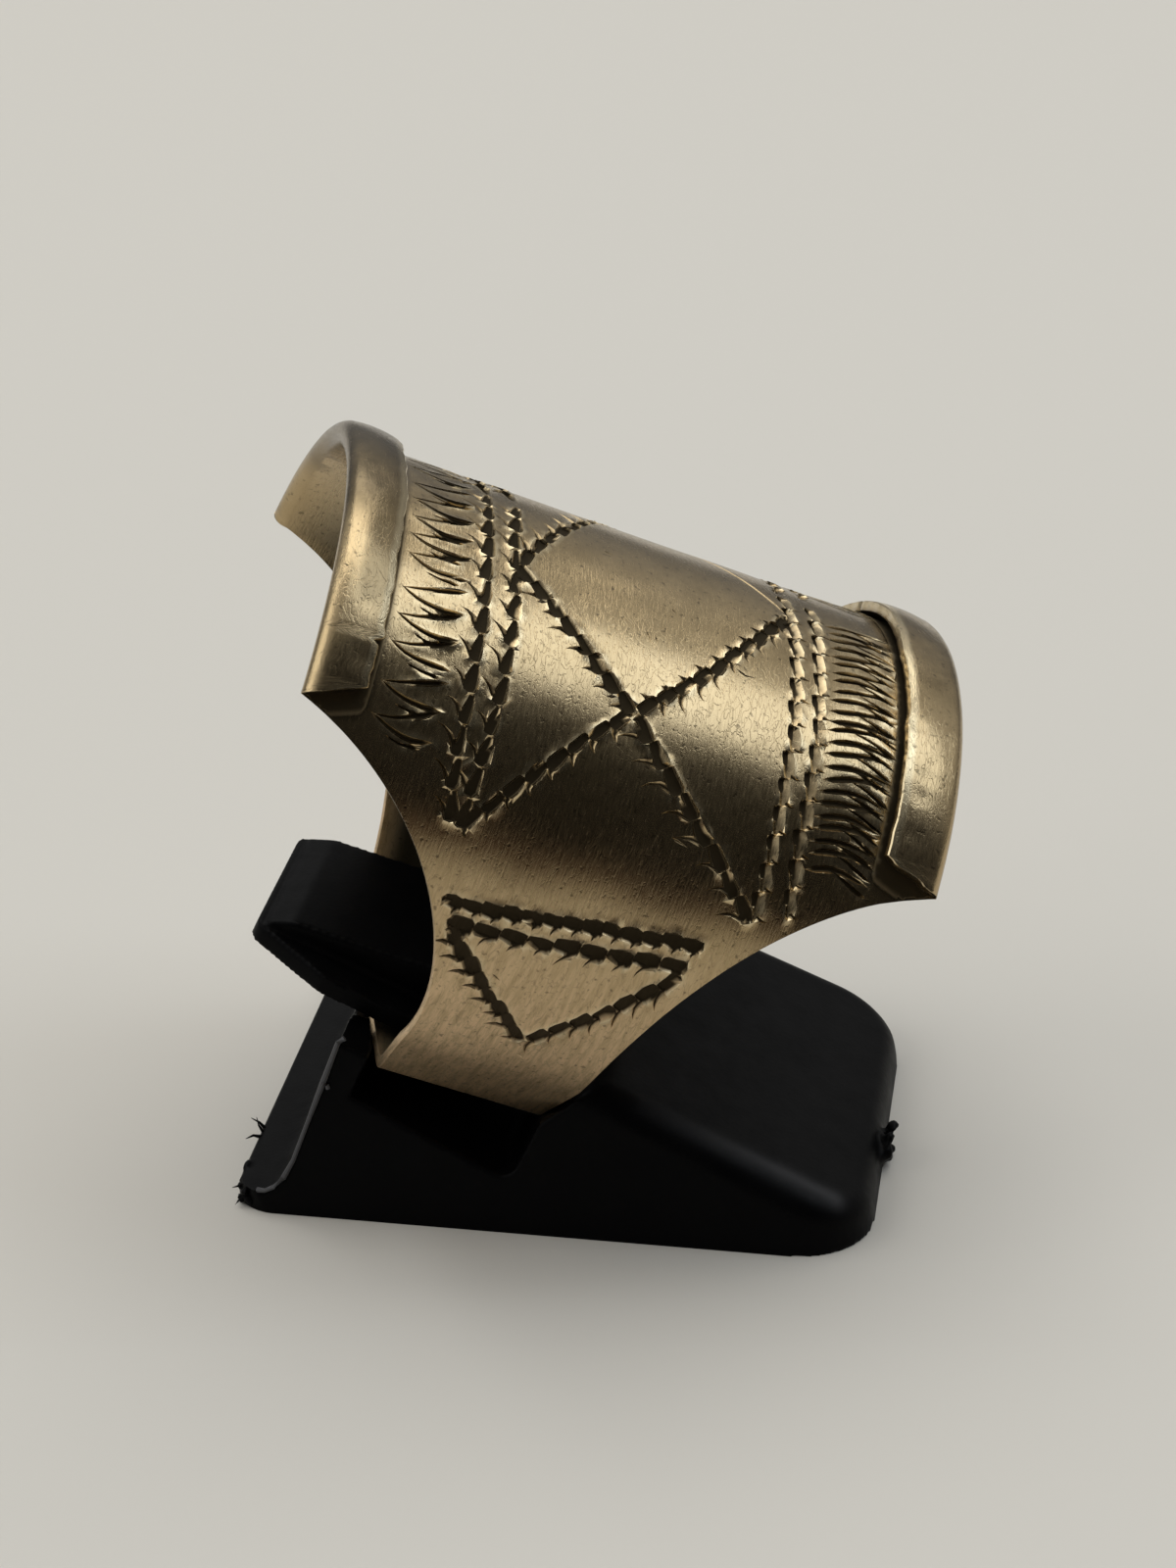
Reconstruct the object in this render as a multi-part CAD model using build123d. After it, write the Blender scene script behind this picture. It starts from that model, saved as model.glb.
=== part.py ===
from build123d import *

import math
import os

# Silver saddle ring held by a small black plastic clip stand.
# Millimetres, +Z up. +X runs along the stand from its tall left wall to its
# low nose, +Y runs away from the side that the photograph shows.
# The origin is the middle of the stand's foot, on the table.

os.makedirs("parts", exist_ok=True)

# RING, in its own axes: x along the finger, z up through the middle of the plate
ring_outer_r = 10.5
sheet_t = 0.45
arc_half_angle = 136.0
bottom_depth = 9.9
bottom_corner_r = 1.6
plate_half_length = 11.6
plate_tip_angle = 64.5
shank_half_width = 3.1

# side outline of the band between the plate's tip and the flat bottom:
# height as a share of ring_outer_r, and half width as a share of the way from
# shank_half_width to plate_half_length
OUTLINE_COLUMNS = ("height", "spread")
OUTLINE = {
    "flare": (0.214, 0.524),
    "waist": (-0.076, 0.224),
    "shank": (-0.686, 0.035),
}

# folded rims at both ends of the plate, heights above the plate's surface
rim_width = 2.05
rim_fold_height = 0.6
rim_fold_length = 0.75
rim_edge_height = 0.54
rim_slit = 0.14
rim_end_rise = 0.7

# STAND
foot_length = 23.6
foot_width = 17.2
nose_height = 1.15
side_lean = 9.4
nose_corner_near_r = 2.8
nose_corner_far_r = 3.0
ridge_r = 1.1
toe_height = 0.75
toe_length = 0.3
toe_rise = 0.08
toe_hollow_r = 1.3

# the clip's own slope, with u down it and w square to it, from just inside the
# foot's left end; the left wall's outer face leans less
slope = 25.0
slope_start = 0.1
wall_lean = 20.0
wall_u = 0.73
wall_t = 1.21
wall_rise = 1.7
slot_depth = 4.8
slot_side_gap = 0.18
slot_floor_r = 0.6
slot_mouth_depth = 2.3
slot_mouth_run = 1.2

# tongue over the slot, a little to the near side
tongue_y = -0.4
tongue_gap = 0.22
flange_t = 0.76
flange_width = 10.0
flange_tip_width = 7.1
flange_overhang = 4.63
flange_taper_length = 3.1
flange_corner_r = 0.65
block_width = 7.0
block_tip_back = 0.35
block_tip_t = 0.15
block_nose_length = 0.85
block_nose_t = 0.58
block_knee_u = 0.77
block_knee_t = 1.22
block_deck_back = 2.9
tongue_root = 1.6

# how the ring sits: its turn, its tilt down to the right, its roll to the far
# side, and the middle of its flat bottom over the slot's floor
ring_yaw = 15.06
ring_tilt = 22.5
ring_roll = -3.2
seat_u_offset = 0.08
seat_y = -2.33
seat_lift = 0.8
clearance = 0.2

# the opening in the left wall that the shank passes over, in the ring's axes
gate_near = 2.0
gate_far = 6.6
gate_right = 1.0

# derived sizes
slope_a = math.radians(slope)
slope_x = slope_start - foot_length / 2
deck_w = nose_height * math.cos(slope_a) + (foot_length / 2 - slope_x) * math.sin(slope_a)
slot_floor_w = deck_w - slot_depth
wall_top_w = slot_floor_w + wall_rise
wall_inner_u = wall_u + wall_t
slot_width = 2 * (shank_half_width + slot_side_gap)
slot_end_u = wall_inner_u + slot_width
flange_low_w = wall_top_w + tongue_gap
flange_top_w = flange_low_w + flange_t
plate_tip_z = ring_outer_r * math.cos(math.radians(plate_tip_angle))
reach = 2 * (ring_outer_r + plate_half_length)


def slope_point(u, w):
    x = slope_x + u * math.cos(slope_a) + w * math.sin(slope_a)
    z = w * math.cos(slope_a) - u * math.sin(slope_a)
    return (x, z)


def xz_prism(face, y_low, y_high):
    plane = Plane(origin=(0, y_low, 0), x_dir=(1, 0, 0), z_dir=(0, -1, 0))
    return extrude(plane * face, amount=y_high - y_low, dir=(0, 1, 0))


def nearest_vertex(face, point):
    return face.vertices().sort_by_distance((point[0], point[1], 0))[0]


def band_section(inset):
    # closed cross-section seen along the finger, inset from the outer surface
    r = ring_outer_r - inset
    a = math.radians(arc_half_angle)
    foot_z = -(bottom_depth - inset)
    start = (r * math.sin(a), r * math.cos(a))
    run = (start[1] - foot_z) / math.sin(a)
    foot = (start[0] + run * math.cos(a), foot_z)
    left_start = (-start[0], start[1])
    left_foot = (-foot[0], foot[1])
    edges = [
        ThreePointArc(left_start, (0, r), start),
        Line(start, foot),
        Line(foot, left_foot),
        Line(left_foot, left_start),
    ]
    face = make_face(edges)
    corners = face.vertices().sort_by(Axis.Y)[:2]
    return fillet(corners, bottom_corner_r - inset)


def band_block(inset, half_length):
    plane = Plane(origin=(-half_length, 0, 0), x_dir=(0, 1, 0), z_dir=(1, 0, 0))
    return extrude(plane * band_section(inset), amount=2 * half_length, dir=(1, 0, 0))


def band_tube(outer_inset, inner_inset, half_length):
    return band_block(outer_inset, half_length) - band_block(inner_inset, half_length)


def outline_point(name, margin):
    height, spread = OUTLINE[name]
    half = shank_half_width + spread * (plate_half_length - shank_half_width)
    return (half + margin, height * ring_outer_r)


def side_outline(margin):
    # the band seen from its side, with its edges moved out by the margin
    top = 2 * ring_outer_r
    tip = (plate_half_length + margin, plate_tip_z)
    waist = outline_point("waist", margin)
    shank = outline_point("shank", margin)
    foot = (shank_half_width + margin, -bottom_depth - margin)
    flare = ThreePointArc(tip, outline_point("flare", margin), waist)
    half = [
        Line((0, top), (tip[0], top)),
        Line((tip[0], top), tip),
        flare,
        TangentArc(waist, shank, tangent=flare % 1),
        Line(shank, foot),
        Line(foot, (0, foot[1])),
    ]
    other = [mirror(edge, Plane.YZ) for edge in half]
    return xz_prism(make_face(half + other), -reach, reach)


def rim():
    # the folded rim at the +x end: a section in (x, radius) turned about x,
    # with its two ends cut on the slant
    r = ring_outer_r
    fold_low = r - sheet_t
    fold_top = r + rim_fold_height
    fold_mid = (fold_low + fold_top) / 2
    fold_r = (fold_top - fold_low) / 2
    fold_x = plate_half_length - fold_r
    edge_x = plate_half_length - rim_width
    slit_x = plate_half_length - rim_fold_length
    root_x = slit_x - rim_fold_length / 3
    edges = [
        Line((fold_x, fold_low), (root_x, fold_low)),
        Line((root_x, fold_low), (root_x, r)),
        Line((root_x, r), (slit_x, r + sheet_t / 40)),
        Line((slit_x, r + sheet_t / 40), (edge_x, r + rim_slit)),
        Line((edge_x, r + rim_slit), (edge_x, r + rim_edge_height)),
        Line((edge_x, r + rim_edge_height), (fold_x, fold_top)),
        ThreePointArc((fold_x, fold_top), (plate_half_length, fold_mid), (fold_x, fold_low)),
    ]
    section = Plane.XZ * make_face(edges)
    sweep = plate_tip_angle + 3
    turned = Rot(-sweep, 0, 0) * revolve(section, Axis.X, revolution_arc=2 * sweep)
    inner_x = edge_x - rim_slit
    outer_x = plate_half_length + rim_slit
    top = 2 * r
    keep = [
        (inner_x, plate_tip_z + rim_end_rise),
        (outer_x, plate_tip_z),
        (outer_x, top),
        (inner_x, top),
    ]
    return turned & xz_prism(make_face(Polyline(keep, close=True)), -reach, reach)


def ring_band():
    band = band_tube(0, sheet_t, reach / 2) & side_outline(0)
    right = rim()
    left = Rot(0, 0, 180) * right
    return band + right + left


def seat_place():
    turn = Rot(0, 0, ring_yaw) * Rot(0, ring_tilt, 0) * Rot(ring_roll, 0, 0)
    seat_u = (wall_inner_u + slot_end_u) / 2 - 1 + seat_u_offset
    x, z = slope_point(seat_u, slot_floor_w + seat_lift)
    return Pos(x, seat_y, z) * turn * Pos(0, 0, bottom_depth)


def stand_base():
    foot_end = foot_length / 2
    floor_end = slope_point(slot_end_u, slot_floor_w)
    wall_top = slope_point(wall_u, wall_top_w)
    toe_top = toe_height + toe_rise
    wall_foot = (wall_top[0] - (wall_top[1] - toe_top) * math.tan(math.radians(wall_lean)), toe_top)
    profile = [
        (-foot_end, 0),
        (foot_end, 0),
        (foot_end, nose_height),
        slope_point(slot_end_u + slot_mouth_run, deck_w),
        slope_point(slot_end_u, deck_w - slot_mouth_depth),
        floor_end,
        slope_point(wall_inner_u, slot_floor_w),
        slope_point(wall_inner_u, wall_top_w),
        wall_top,
        wall_foot,
        (-foot_end + toe_length, toe_top),
        (-foot_end, toe_height),
    ]
    side = make_face(Polyline(profile, close=True))
    side = fillet(nearest_vertex(side, floor_end), slot_floor_r)
    side = fillet(nearest_vertex(side, wall_foot), toe_hollow_r)
    block = xz_prism(side, -foot_width / 2, foot_width / 2)
    plan = make_face(Rectangle(foot_length, foot_width).edges())
    plan = fillet(nearest_vertex(plan, (foot_end, -foot_width / 2)), nose_corner_near_r)
    plan = fillet(nearest_vertex(plan, (foot_end, foot_width / 2)), nose_corner_far_r)
    sides = extrude(plan, amount=foot_width / 2, taper=side_lean)
    return block & sides


def deck_edges(body):
    # the edges all round the sloping deck, where it meets the leaning sides
    deck = [
        face
        for face in body.faces()
        if abs(face.normal_at().X - math.sin(slope_a)) < 0.02
        and abs(face.normal_at().Z - math.cos(slope_a)) < 0.02
    ]
    return sorted(deck, key=lambda face: face.center().X)[-1].edges()


def flange():
    x, z = slope_point(0, flange_low_w)
    plane = Plane(
        origin=(x, tongue_y, z),
        x_dir=(math.cos(slope_a), 0, -math.sin(slope_a)),
        z_dir=(math.sin(slope_a), 0, math.cos(slope_a)),
    )
    tip_u = wall_u - flange_overhang
    shoulder_u = tip_u + flange_taper_length
    end_u = slot_end_u + tongue_root
    points = [
        (tip_u, -flange_tip_width / 2),
        (shoulder_u, -flange_width / 2),
        (end_u, -flange_width / 2),
        (end_u, flange_width / 2),
        (shoulder_u, flange_width / 2),
        (tip_u, flange_tip_width / 2),
    ]
    face = make_face(Polyline(points, close=True))
    face = fillet(face.vertices().sort_by(Axis.X)[:2], flange_corner_r)
    return extrude(plane * face, amount=flange_t)


def tongue_block():
    low_w = flange_top_w - flange_t / 4
    tip_u = wall_u - flange_overhang + block_tip_back
    end_u = slot_end_u + tongue_root
    points = [
        slope_point(tip_u, low_w),
        slope_point(tip_u, flange_top_w + block_tip_t),
        slope_point(tip_u + block_nose_length, flange_top_w + block_nose_t),
        slope_point(wall_u + block_knee_u, flange_top_w + block_knee_t),
        slope_point(slot_end_u - block_deck_back, deck_w),
        slope_point(end_u, deck_w),
        slope_point(end_u, low_w),
    ]
    face = make_face(Polyline(points, close=True))
    return xz_prism(face, tongue_y - block_width / 2, tongue_y + block_width / 2)


place = seat_place()
ring = place * ring_band()

base = stand_base()
base = fillet(deck_edges(base), ridge_r)

# the low middle of the left wall, and room for the band in the slot
gate_low = -(bottom_depth + clearance)
gate = Box(reach, gate_near + gate_far, reach, align=(Align.MAX, Align.MIN, Align.MIN))
base = base - place * Pos(gate_right, -gate_near, gate_low) * gate
base = base - place * (band_block(-clearance, reach / 2) & side_outline(clearance))
room = band_tube(-clearance, sheet_t + clearance, reach / 2) & side_outline(clearance)
tongue = flange() + tongue_block()
tongue = tongue - place * room
stand = base + tongue

export_step(ring, "parts/ring_band.step")
export_step(stand, "parts/clip_stand.step")

print("ring", round(ring.volume, 2), ring.is_valid, len(ring.solids()))
print("stand", round(stand.volume, 2), stand.is_valid, len(stand.solids()))
print("ring to stand, mm", round(stand.distance_to(ring), 3))
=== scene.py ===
import math

import bmesh
import bpy
import numpy as np
from mathutils import Matrix, Vector
from mathutils.geometry import delaunay_2d_cdt


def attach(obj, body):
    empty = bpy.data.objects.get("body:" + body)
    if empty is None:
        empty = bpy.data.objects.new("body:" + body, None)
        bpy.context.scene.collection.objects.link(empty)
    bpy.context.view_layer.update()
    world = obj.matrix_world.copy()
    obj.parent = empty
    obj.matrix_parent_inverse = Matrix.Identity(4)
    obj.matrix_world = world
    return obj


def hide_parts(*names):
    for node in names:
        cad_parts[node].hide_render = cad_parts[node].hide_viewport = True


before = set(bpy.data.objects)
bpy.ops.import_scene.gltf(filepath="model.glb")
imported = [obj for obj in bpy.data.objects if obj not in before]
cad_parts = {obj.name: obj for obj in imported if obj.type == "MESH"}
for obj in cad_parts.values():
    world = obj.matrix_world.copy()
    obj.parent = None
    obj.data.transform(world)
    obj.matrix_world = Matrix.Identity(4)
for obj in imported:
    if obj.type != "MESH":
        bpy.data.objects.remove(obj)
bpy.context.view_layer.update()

# Looks of the silver saddle ring and its black clip stand. Lengths in the
# tables are millimetres and are turned to metres where a mesh is finished.

bl_info = {
    "name": "Silver ring on clip stand",
    "version": (1, 0, 0),
    "blender": (4, 5, 0),
    "location": "3D View > Sidebar > Silver ring",
    "description": "Builds the engraved silver ring, its clip stand and the studio round them",
    "category": "Object",
}

MM = 0.001

# BAND, the sizes that its solid has
OUTER_R = 10.5
SHEET_T = 0.45
ARC_HALF_ANGLE = math.radians(136.0)
BOTTOM_DEPTH = 9.9
BOTTOM_CORNER_R = 1.6
PLATE_HALF_LENGTH = 11.6
PLATE_TIP_Z = OUTER_R * math.cos(math.radians(64.5))
SHANK_HALF_WIDTH = 3.1
FLARE = (7.554, 2.247)
WAIST = (5.004, -0.798)
SHANK = (3.3975, -7.203)

# RIMS, heights over the band's outer surface
RIM_EDGE_X = 9.55
RIM_SLIT_X = 10.85
RIM_FOLD_TOP = 0.6
RIM_END_RISE = 0.7
RIM_CROWN = 0.07
FREE_EDGE_T = 0.4
FOLD_R = (RIM_FOLD_TOP + SHEET_T) / 2
FOLD_X = PLATE_HALF_LENGTH - FOLD_R
FOLD_MID = RIM_FOLD_TOP - FOLD_R
# how far the sheet's plain edge bulges, and how far a rim's free edge is rounded
EDGE_BULGE, SOFT_EDGE = 0.05, 0.05
# the right rim is drawn out: by how much, from which x on and over what length
DRAWN_OUT, DRAWN_FROM, DRAWN_OVER = 0.24, 9.6, 2.0
# height of the sheet's slight waves
WAVE_HEIGHT = 0.011
# points of a rim's path under it, round its free edge, over it and in its fold
UNDER_COUNT, EDGE_COUNT, TOP_COUNT, FOLD_COUNT = 5, 4, 9, 12
RIM_TOP_COLUMN = UNDER_COUNT + EDGE_COUNT

# how far each rim's free edge stands off the plate, and how ragged it is
# with single bites (positive) and lumps in it, each (run, size, width)
RIM_COLUMNS = ("side", "slit", "ragged", "phase", "torn", "bites")
RIMS = (
    (-1, 0.15, 0.08, 0.4, 0.03,
     ((9.5, 0.24, 0.09), (9.22, -0.08, 0.12), (7.7, 0.1, 0.1), (10.4, -0.06, 0.15), (3.1, 0.06, 0.12))),
    (1, 0.27, 0.04, 2.1, 0.11, ((6.1, -0.05, 0.25), (-4.0, 0.08, 0.12))),
)
# knocks in the rims' tops: side, x along the finger, run, radius and depth
DENTS = (
    (1, 9.8, 6.2, 0.3, 0.035),
    (1, 9.95, 6.9, 0.25, 0.04),
    (1, 10.4, 7.3, 0.22, 0.03),
    (1, 10.3, 7.95, 0.3, 0.04),
    (1, 10.2, 8.7, 0.28, 0.035),
    (1, 10.15, 10.1, 0.3, 0.02),
    (1, 10.3, 2.0, 0.4, 0.02),
    (-1, 10.2, 5.6, 0.35, 0.025),
    (-1, 10.45, 3.0, 0.4, 0.02),
    (-1, 10.3, 8.3, 0.3, 0.03),
    (-1, 10.1, 10.2, 0.35, 0.03),
    (-1, 10.3, -3.5, 0.35, 0.025),
    (1, 10.2, -6.5, 0.3, 0.03),
)

# the ring's place on the stand: its centre, then its turn, tilt and roll
RING_CENTRE = Vector((-1.346, -0.813, 13.635))
RING_YAW = math.radians(15.06)
RING_TILT = math.radians(22.5)
RING_ROLL = math.radians(-3.2)

ROW_STEP = 0.2
TIP_ROW_STEP = 0.05
GRID_STEP = 0.2
MERGE_DISTANCE = 0.003
RING_SHARP_ANGLE = math.radians(22)
# room that the grid's points leave beside the rims and beside the cuts
EDGE_GAP, CUT_GAP = 0.12, 0.07
# where the rows are dense, how far to each side, and the share of the grid's
# points that is left out there
DENSE_RUN, DENSE_REACH, LEFT_OUT = 11.6, 0.9, 0.7
# how deep in a cut a raised lip still stands
LIP_LIMIT = 0.012

# ENGRAVING, as (x along the finger, run round the band from the middle of the
# plate, positive on the near half). LINES are repeated on the far half. A barb
# or horn is an (along, round) reach from its cut.
LINE_COLUMNS = ("name", "style", "pitch", "half_width", "barb", "horn", "path")
LINES = (
    ("left_outer", "scale", 1.08, 0.27, (-0.75, -0.72), None,
     ((-6.3, 0.05), (-6.33, 3.3), (-6.28, 6.0), (-6.17, 8.2), (-6.1, 9.6), (-6.0, 11.6),
      (-5.75, 13.4), (-5.4, 14.4))),
    ("left_inner", "scale", 1.12, 0.27, (-0.62, -0.62), None,
     ((-5.22, 0.35), (-5.38, 2.5), (-5.33, 3.9), (-5.2, 5.0), (-5.12, 6.4), (-5.05, 7.8),
      (-5.05, 10.3), (-5.06, 11.4), (-5.1, 14.5))),
    ("right_inner", "facet", 1.05, 0.22, (0.38, 0.08), None,
     ((5.28, 0.2), (5.32, 2.7), (5.43, 5.3), (5.47, 7.9), (5.54, 10.1), (5.55, 11.4), (5.74, 14.5))),
    ("right_outer", "facet", 1.05, 0.22, (0.34, 0.05), None,
     ((6.33, 0.5), (6.3, 2.2), (6.27, 4.0), (6.35, 6.7), (6.4, 8.6), (6.45, 10.45),
      (6.6, 12.4), (6.85, 14.1))),
)
# the near half's other lines, repeated on the far half but for their cross
NEAR_LINES = (
    ("cross_down_upper", "chain", 0.86, 0.27, (-0.8, 0.06), None,
     ((-5.2, 4.45), (-3.9, 5.55), (-2.6, 6.85), (-1.73, 7.6), (-0.32, 8.85))),
    ("cross_down_lower", "chain", 1.06, 0.28, (-1.0, 0.1), None,
     ((-0.2, 9.0), (0.95, 10.1), (2.0, 11.15), (3.1, 12.1), (4.3, 13.2), (5.75, 14.6))),
    ("cross_up_upper", "chain", 0.86, 0.26, (0.2, 0.62), (-0.34, -0.16),
     ((5.17, 2.0), (4.3, 3.35), (3.55, 4.45), (2.9, 5.35), (2.15, 6.3), (1.4, 7.2),
      (0.5, 8.05), (-0.25, 8.75))),
    ("cross_up_lower", "chain", 0.86, 0.24, (0.12, 0.42), None,
     ((-0.45, 8.95), (-1.6, 10.1), (-2.9, 11.6), (-4.1, 13.1), (-5.1, 14.45))),
    ("ribbon", "band", 0.72, 0.3, (-0.16, 0.34), None,
     ((-4.66, 17.1), (-1.5, 16.75), (1.5, 16.3), (4.46, 15.89))),
    ("base_line", "chain", 0.92, 0.31, (-0.5, 0.55), None,
     ((-4.18, 17.85), (-1.3, 17.6), (1.5, 17.2), (4.26, 16.73))),
    ("triangle_left", "band", 0.7, 0.3, (-0.66, 0.14), None,
     ((-4.1, 18.1), (-1.9, 20.1), (0.2, 22.05))),
    ("triangle_right", "chain", 0.84, 0.31, (0.02, 0.82), None,
     ((4.1, 17.2), (2.2, 19.6), (0.35, 21.9))),
)
# the far half's own cross: a long barbed arm and the two lower ones. Its other
# upper arm is the plain line
FAR_LINES = (
    ("far_cross_barbed", "chain", 1.0, 0.24, (-0.45, -0.85), None,
     ((-5.1, 4.2), (-4.5, 2.9), (-3.7, 1.6), (-2.9, 0.1), (-2.0, -1.47), (-0.85, -3.55), (0.3, -5.68))),
    ("far_cross_barbed_lower", "chain", 1.04, 0.24, (-0.8, -0.1), None,
     ((0.4, -5.85), (2.0, -8.7), (3.7, -11.7), (5.3, -14.55))),
    ("far_cross_lower", "chain", 0.9, 0.21, (0.2, -0.5), None,
     ((0.2, -5.85), (-1.5, -8.6), (-3.3, -11.5), (-5.1, -14.5))),
)
PLAIN_LINE = ((5.19, 1.75), (4.45, 0.64), (3.23, -1.28), (2.29, -2.66), (1.3, -4.2), (0.4, -5.5))
PLAIN_HALF_WIDTH = 0.07
# slips of the tool and later nicks
STRAY_CUTS = (
    ((-0.35, 5.35), (-0.2, 5.6), (-0.12, 5.95)),
    ((0.05, 5.55), (0.15, 5.8)),
    ((3.1, 5.75), (3.45, 5.95), (3.9, 5.9)),
    ((0.6, 3.9), (0.85, 4.15)),
    ((-1.9, 1.6), (-1.5, 1.75)),
    ((2.1, 12.6), (2.7, 12.75)),
    ((-2.0, 19.3), (-1.6, 19.5)),
    ((0.4, 22.9), (0.7, 23.1)),
    ((-0.2, 23.3), (-0.05, 23.5)),
)

# fringes between the outer lines and the rims: where the strokes start
LEFT_FRINGE_STARTS = (-0.35, 1.3, 2.45, 3.55, 4.5, 5.45, 6.95, 8.0, 9.05, 10.5, 11.65)
RIGHT_FRINGE_FIRST = 1.6
RIGHT_FRINGE_LAST = 12.4
RIGHT_FRINGE_PITCH = 0.46

# how one step of each style goes along its line, as one or more marks: where a
# mark's stations are, as parts of the pitch, and its width and depth there, as
# parts of the whole; then its reach to the barbs' side and to the other, how
# far it stands aside, how high its lip stands, the depth down to which its metal
# stays clean, and how much of its width is floor
MARK_COLUMNS = ("at", "wide", "deep", "barb_reach", "far_reach", "aside", "lip", "clean", "floor")
STYLES = {
    "scale": (
        (
            (0.0, 0.05, 0.2, 0.5, 0.78, 0.93, 0.99),
            (0.0, 0.4, 0.62, 0.88, 1.0, 0.8, 0.0),
            (0.0, 0.35, 0.55, 0.85, 1.0, 0.95, 0.0),
            1.0, 1.05, 0.0, 0.05, 0.0, 0.6,
        ),
    ),
    "chain": (
        (
            (-0.06, -0.02, 0.12, 0.45, 0.75, 0.9, 0.955),
            (0.0, 0.72, 0.88, 1.0, 1.04, 0.82, 0.0),
            (0.0, 0.55, 0.75, 0.95, 1.0, 0.8, 0.0),
            1.1, 0.9, 0.0, 0.05, 0.0, 0.62,
        ),
    ),
    "band": (
        (
            (-0.16, -0.1, 0.12, 0.45, 0.75, 0.95, 1.02),
            (0.0, 0.74, 0.9, 1.0, 1.0, 0.85, 0.0),
            (0.0, 0.6, 0.8, 0.95, 1.0, 0.85, 0.0),
            1.0, 1.0, 0.0, 0.04, 0.0, 0.66,
        ),
    ),
    "facet": (
        (
            (-0.03, 0.04, 0.3, 0.6, 0.85, 0.95, 0.99),
            (0.0, 0.8, 1.0, 1.0, 0.9, 0.7, 0.0),
            (0.0, 0.8, 0.85, 0.75, 0.6, 0.5, 0.0),
            1.35, 0.7, 0.0, 0.04, 0.07, 0.0,
        ),
        (
            (-0.04, 0.02, 0.16, 0.34, 0.48, 0.54),
            (0.0, 0.85, 1.0, 0.95, 0.8, 0.0),
            (0.0, 1.0, 1.1, 1.0, 0.85, 0.0),
            0.62, 0.7, -0.06, 0.0, 0.0, 0.65,
        ),
    ),
}
FLOOR_SHARE = 0.86

# how unevenly the lines are worked: from least to most size of a step, shift
# aside, width of a bank and length of a barb
STEP_SIZES, STEP_SHIFTS, BANK_WIDTHS, BARB_LENGTHS = (0.88, 1.12), (-0.04, 0.04), (0.86, 1.14), (0.75, 1.2)
BARB_WIDTHS = {"scale": 0.13, "chain": 0.16, "band": 0.16, "facet": 0.09}
BARB_BEND = 0.13

GROOVE_DEPTH = 0.15
BARB_DEPTH = 0.1
FRINGE_DEPTH = 0.14
FULL_PATINA_DEPTH = 0.05

draws = np.random.RandomState(7)


def hex_property(name, what, default):
    """A colour that a user can type."""
    return bpy.props.StringProperty(name=name, description=f"Colour of {what}, sRGB hex", default=default)


class RingLooks(bpy.types.PropertyGroup):
    """What a user would change on the silver ring."""

    groove_depth: bpy.props.FloatProperty(
        name="Groove depth",
        description="Depth of the wriggled lines in the band",
        default=GROOVE_DEPTH * MM,
        min=0.0,
        max=0.3 * MM,
        unit="LENGTH",
        precision=6,
    )
    silver: hex_property("Silver", "the warm tarnished silver", "BFA983")
    bright_silver: hex_property("Worn silver", "rubbed edges and lips", "D9C7A2")
    patina: hex_property("Patina", "the dark patina in the cuts", "15120D")
    roughness: bpy.props.FloatProperty(
        name="Roughness",
        description="Roughness of the satin surface",
        default=0.22,
        min=0.0,
        max=1.0,
        subtype="FACTOR",
    )


class StandLooks(bpy.types.PropertyGroup):
    """What a user would change on the clip stand."""

    plastic: hex_property("Plastic", "the moulded plastic", "040405")
    edge_rounding: bpy.props.IntProperty(
        name="Edge rounding",
        description="Passes that round the moulded edges",
        default=4,
        min=0,
        max=12,
    )


class StudioLooks(bpy.types.PropertyGroup):
    """What a user would change in the studio."""

    floor: hex_property("Floor", "the paper floor", "D6D2CA")
    key_power: bpy.props.FloatProperty(
        name="Key light",
        description="Power of the soft key light, in watts",
        default=0.5,
        min=0.0,
        unit="POWER",
    )


def linear_colour(text):
    """An sRGB hex colour as linear red, green, blue and alpha."""
    parts = [int(text[i : i + 2], 16) / 255 for i in (0, 2, 4)]
    return [p / 12.92 if p <= 0.04045 else ((p + 0.055) / 1.055) ** 2.4 for p in parts] + [1.0]


def add_node(tree, kind, inputs=None, **settings):
    """Adds a node, sets its settings and its inputs' values, and links inputs given as sockets."""
    node = tree.nodes.new(kind)
    for name, value in settings.items():
        setattr(node, name, value)
    for name, value in (inputs or {}).items():
        if isinstance(value, bpy.types.NodeSocket):
            tree.links.new(value, node.inputs[name])
        else:
            node.inputs[name].default_value = value
    return node


def math_of(tree, operation, *values):
    """The result of one math operation."""
    return add_node(tree, "ShaderNodeMath", dict(enumerate(values)), operation=operation).outputs["Value"]


def spread(tree, value, low, high, to_low, to_high, **settings):
    """A value taken from one span to another and held at its ends."""
    inputs = {"Value": value, "From Min": low, "From Max": high, "To Min": to_low, "To Max": to_high}
    return add_node(tree, "ShaderNodeMapRange", inputs, **settings).outputs["Result"]


def noise(tree, vector, scale, detail, **more):
    """A noise field, with further inputs given by their names."""
    inputs = {"Vector": vector, "Scale": scale, "Detail": detail, **more}
    return add_node(tree, "ShaderNodeTexNoise", inputs).outputs["Fac"]


def blend(tree, factor, first, second):
    """Two colours mixed by a factor."""
    inputs = {"Factor": factor, 6: first, 7: second}
    return add_node(tree, "ShaderNodeMix", inputs, data_type="RGBA").outputs[2]


def scaled(tree, vector, scale, turn=0.0):
    """Coordinates scaled and turned about their third axis."""
    inputs = {"Vector": vector, "Scale": scale, "Rotation": (0, 0, turn)}
    return add_node(tree, "ShaderNodeMapping", inputs).outputs["Vector"]


def off_middle(tree, value, middle):
    """How far a value is from the middle, to either side."""
    return math_of(tree, "ABSOLUTE", math_of(tree, "SUBTRACT", value, middle))


def attribute(tree, name):
    """A value that the mesh carries at its points."""
    return add_node(tree, "ShaderNodeAttribute", attribute_name=name).outputs["Fac"]


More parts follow.
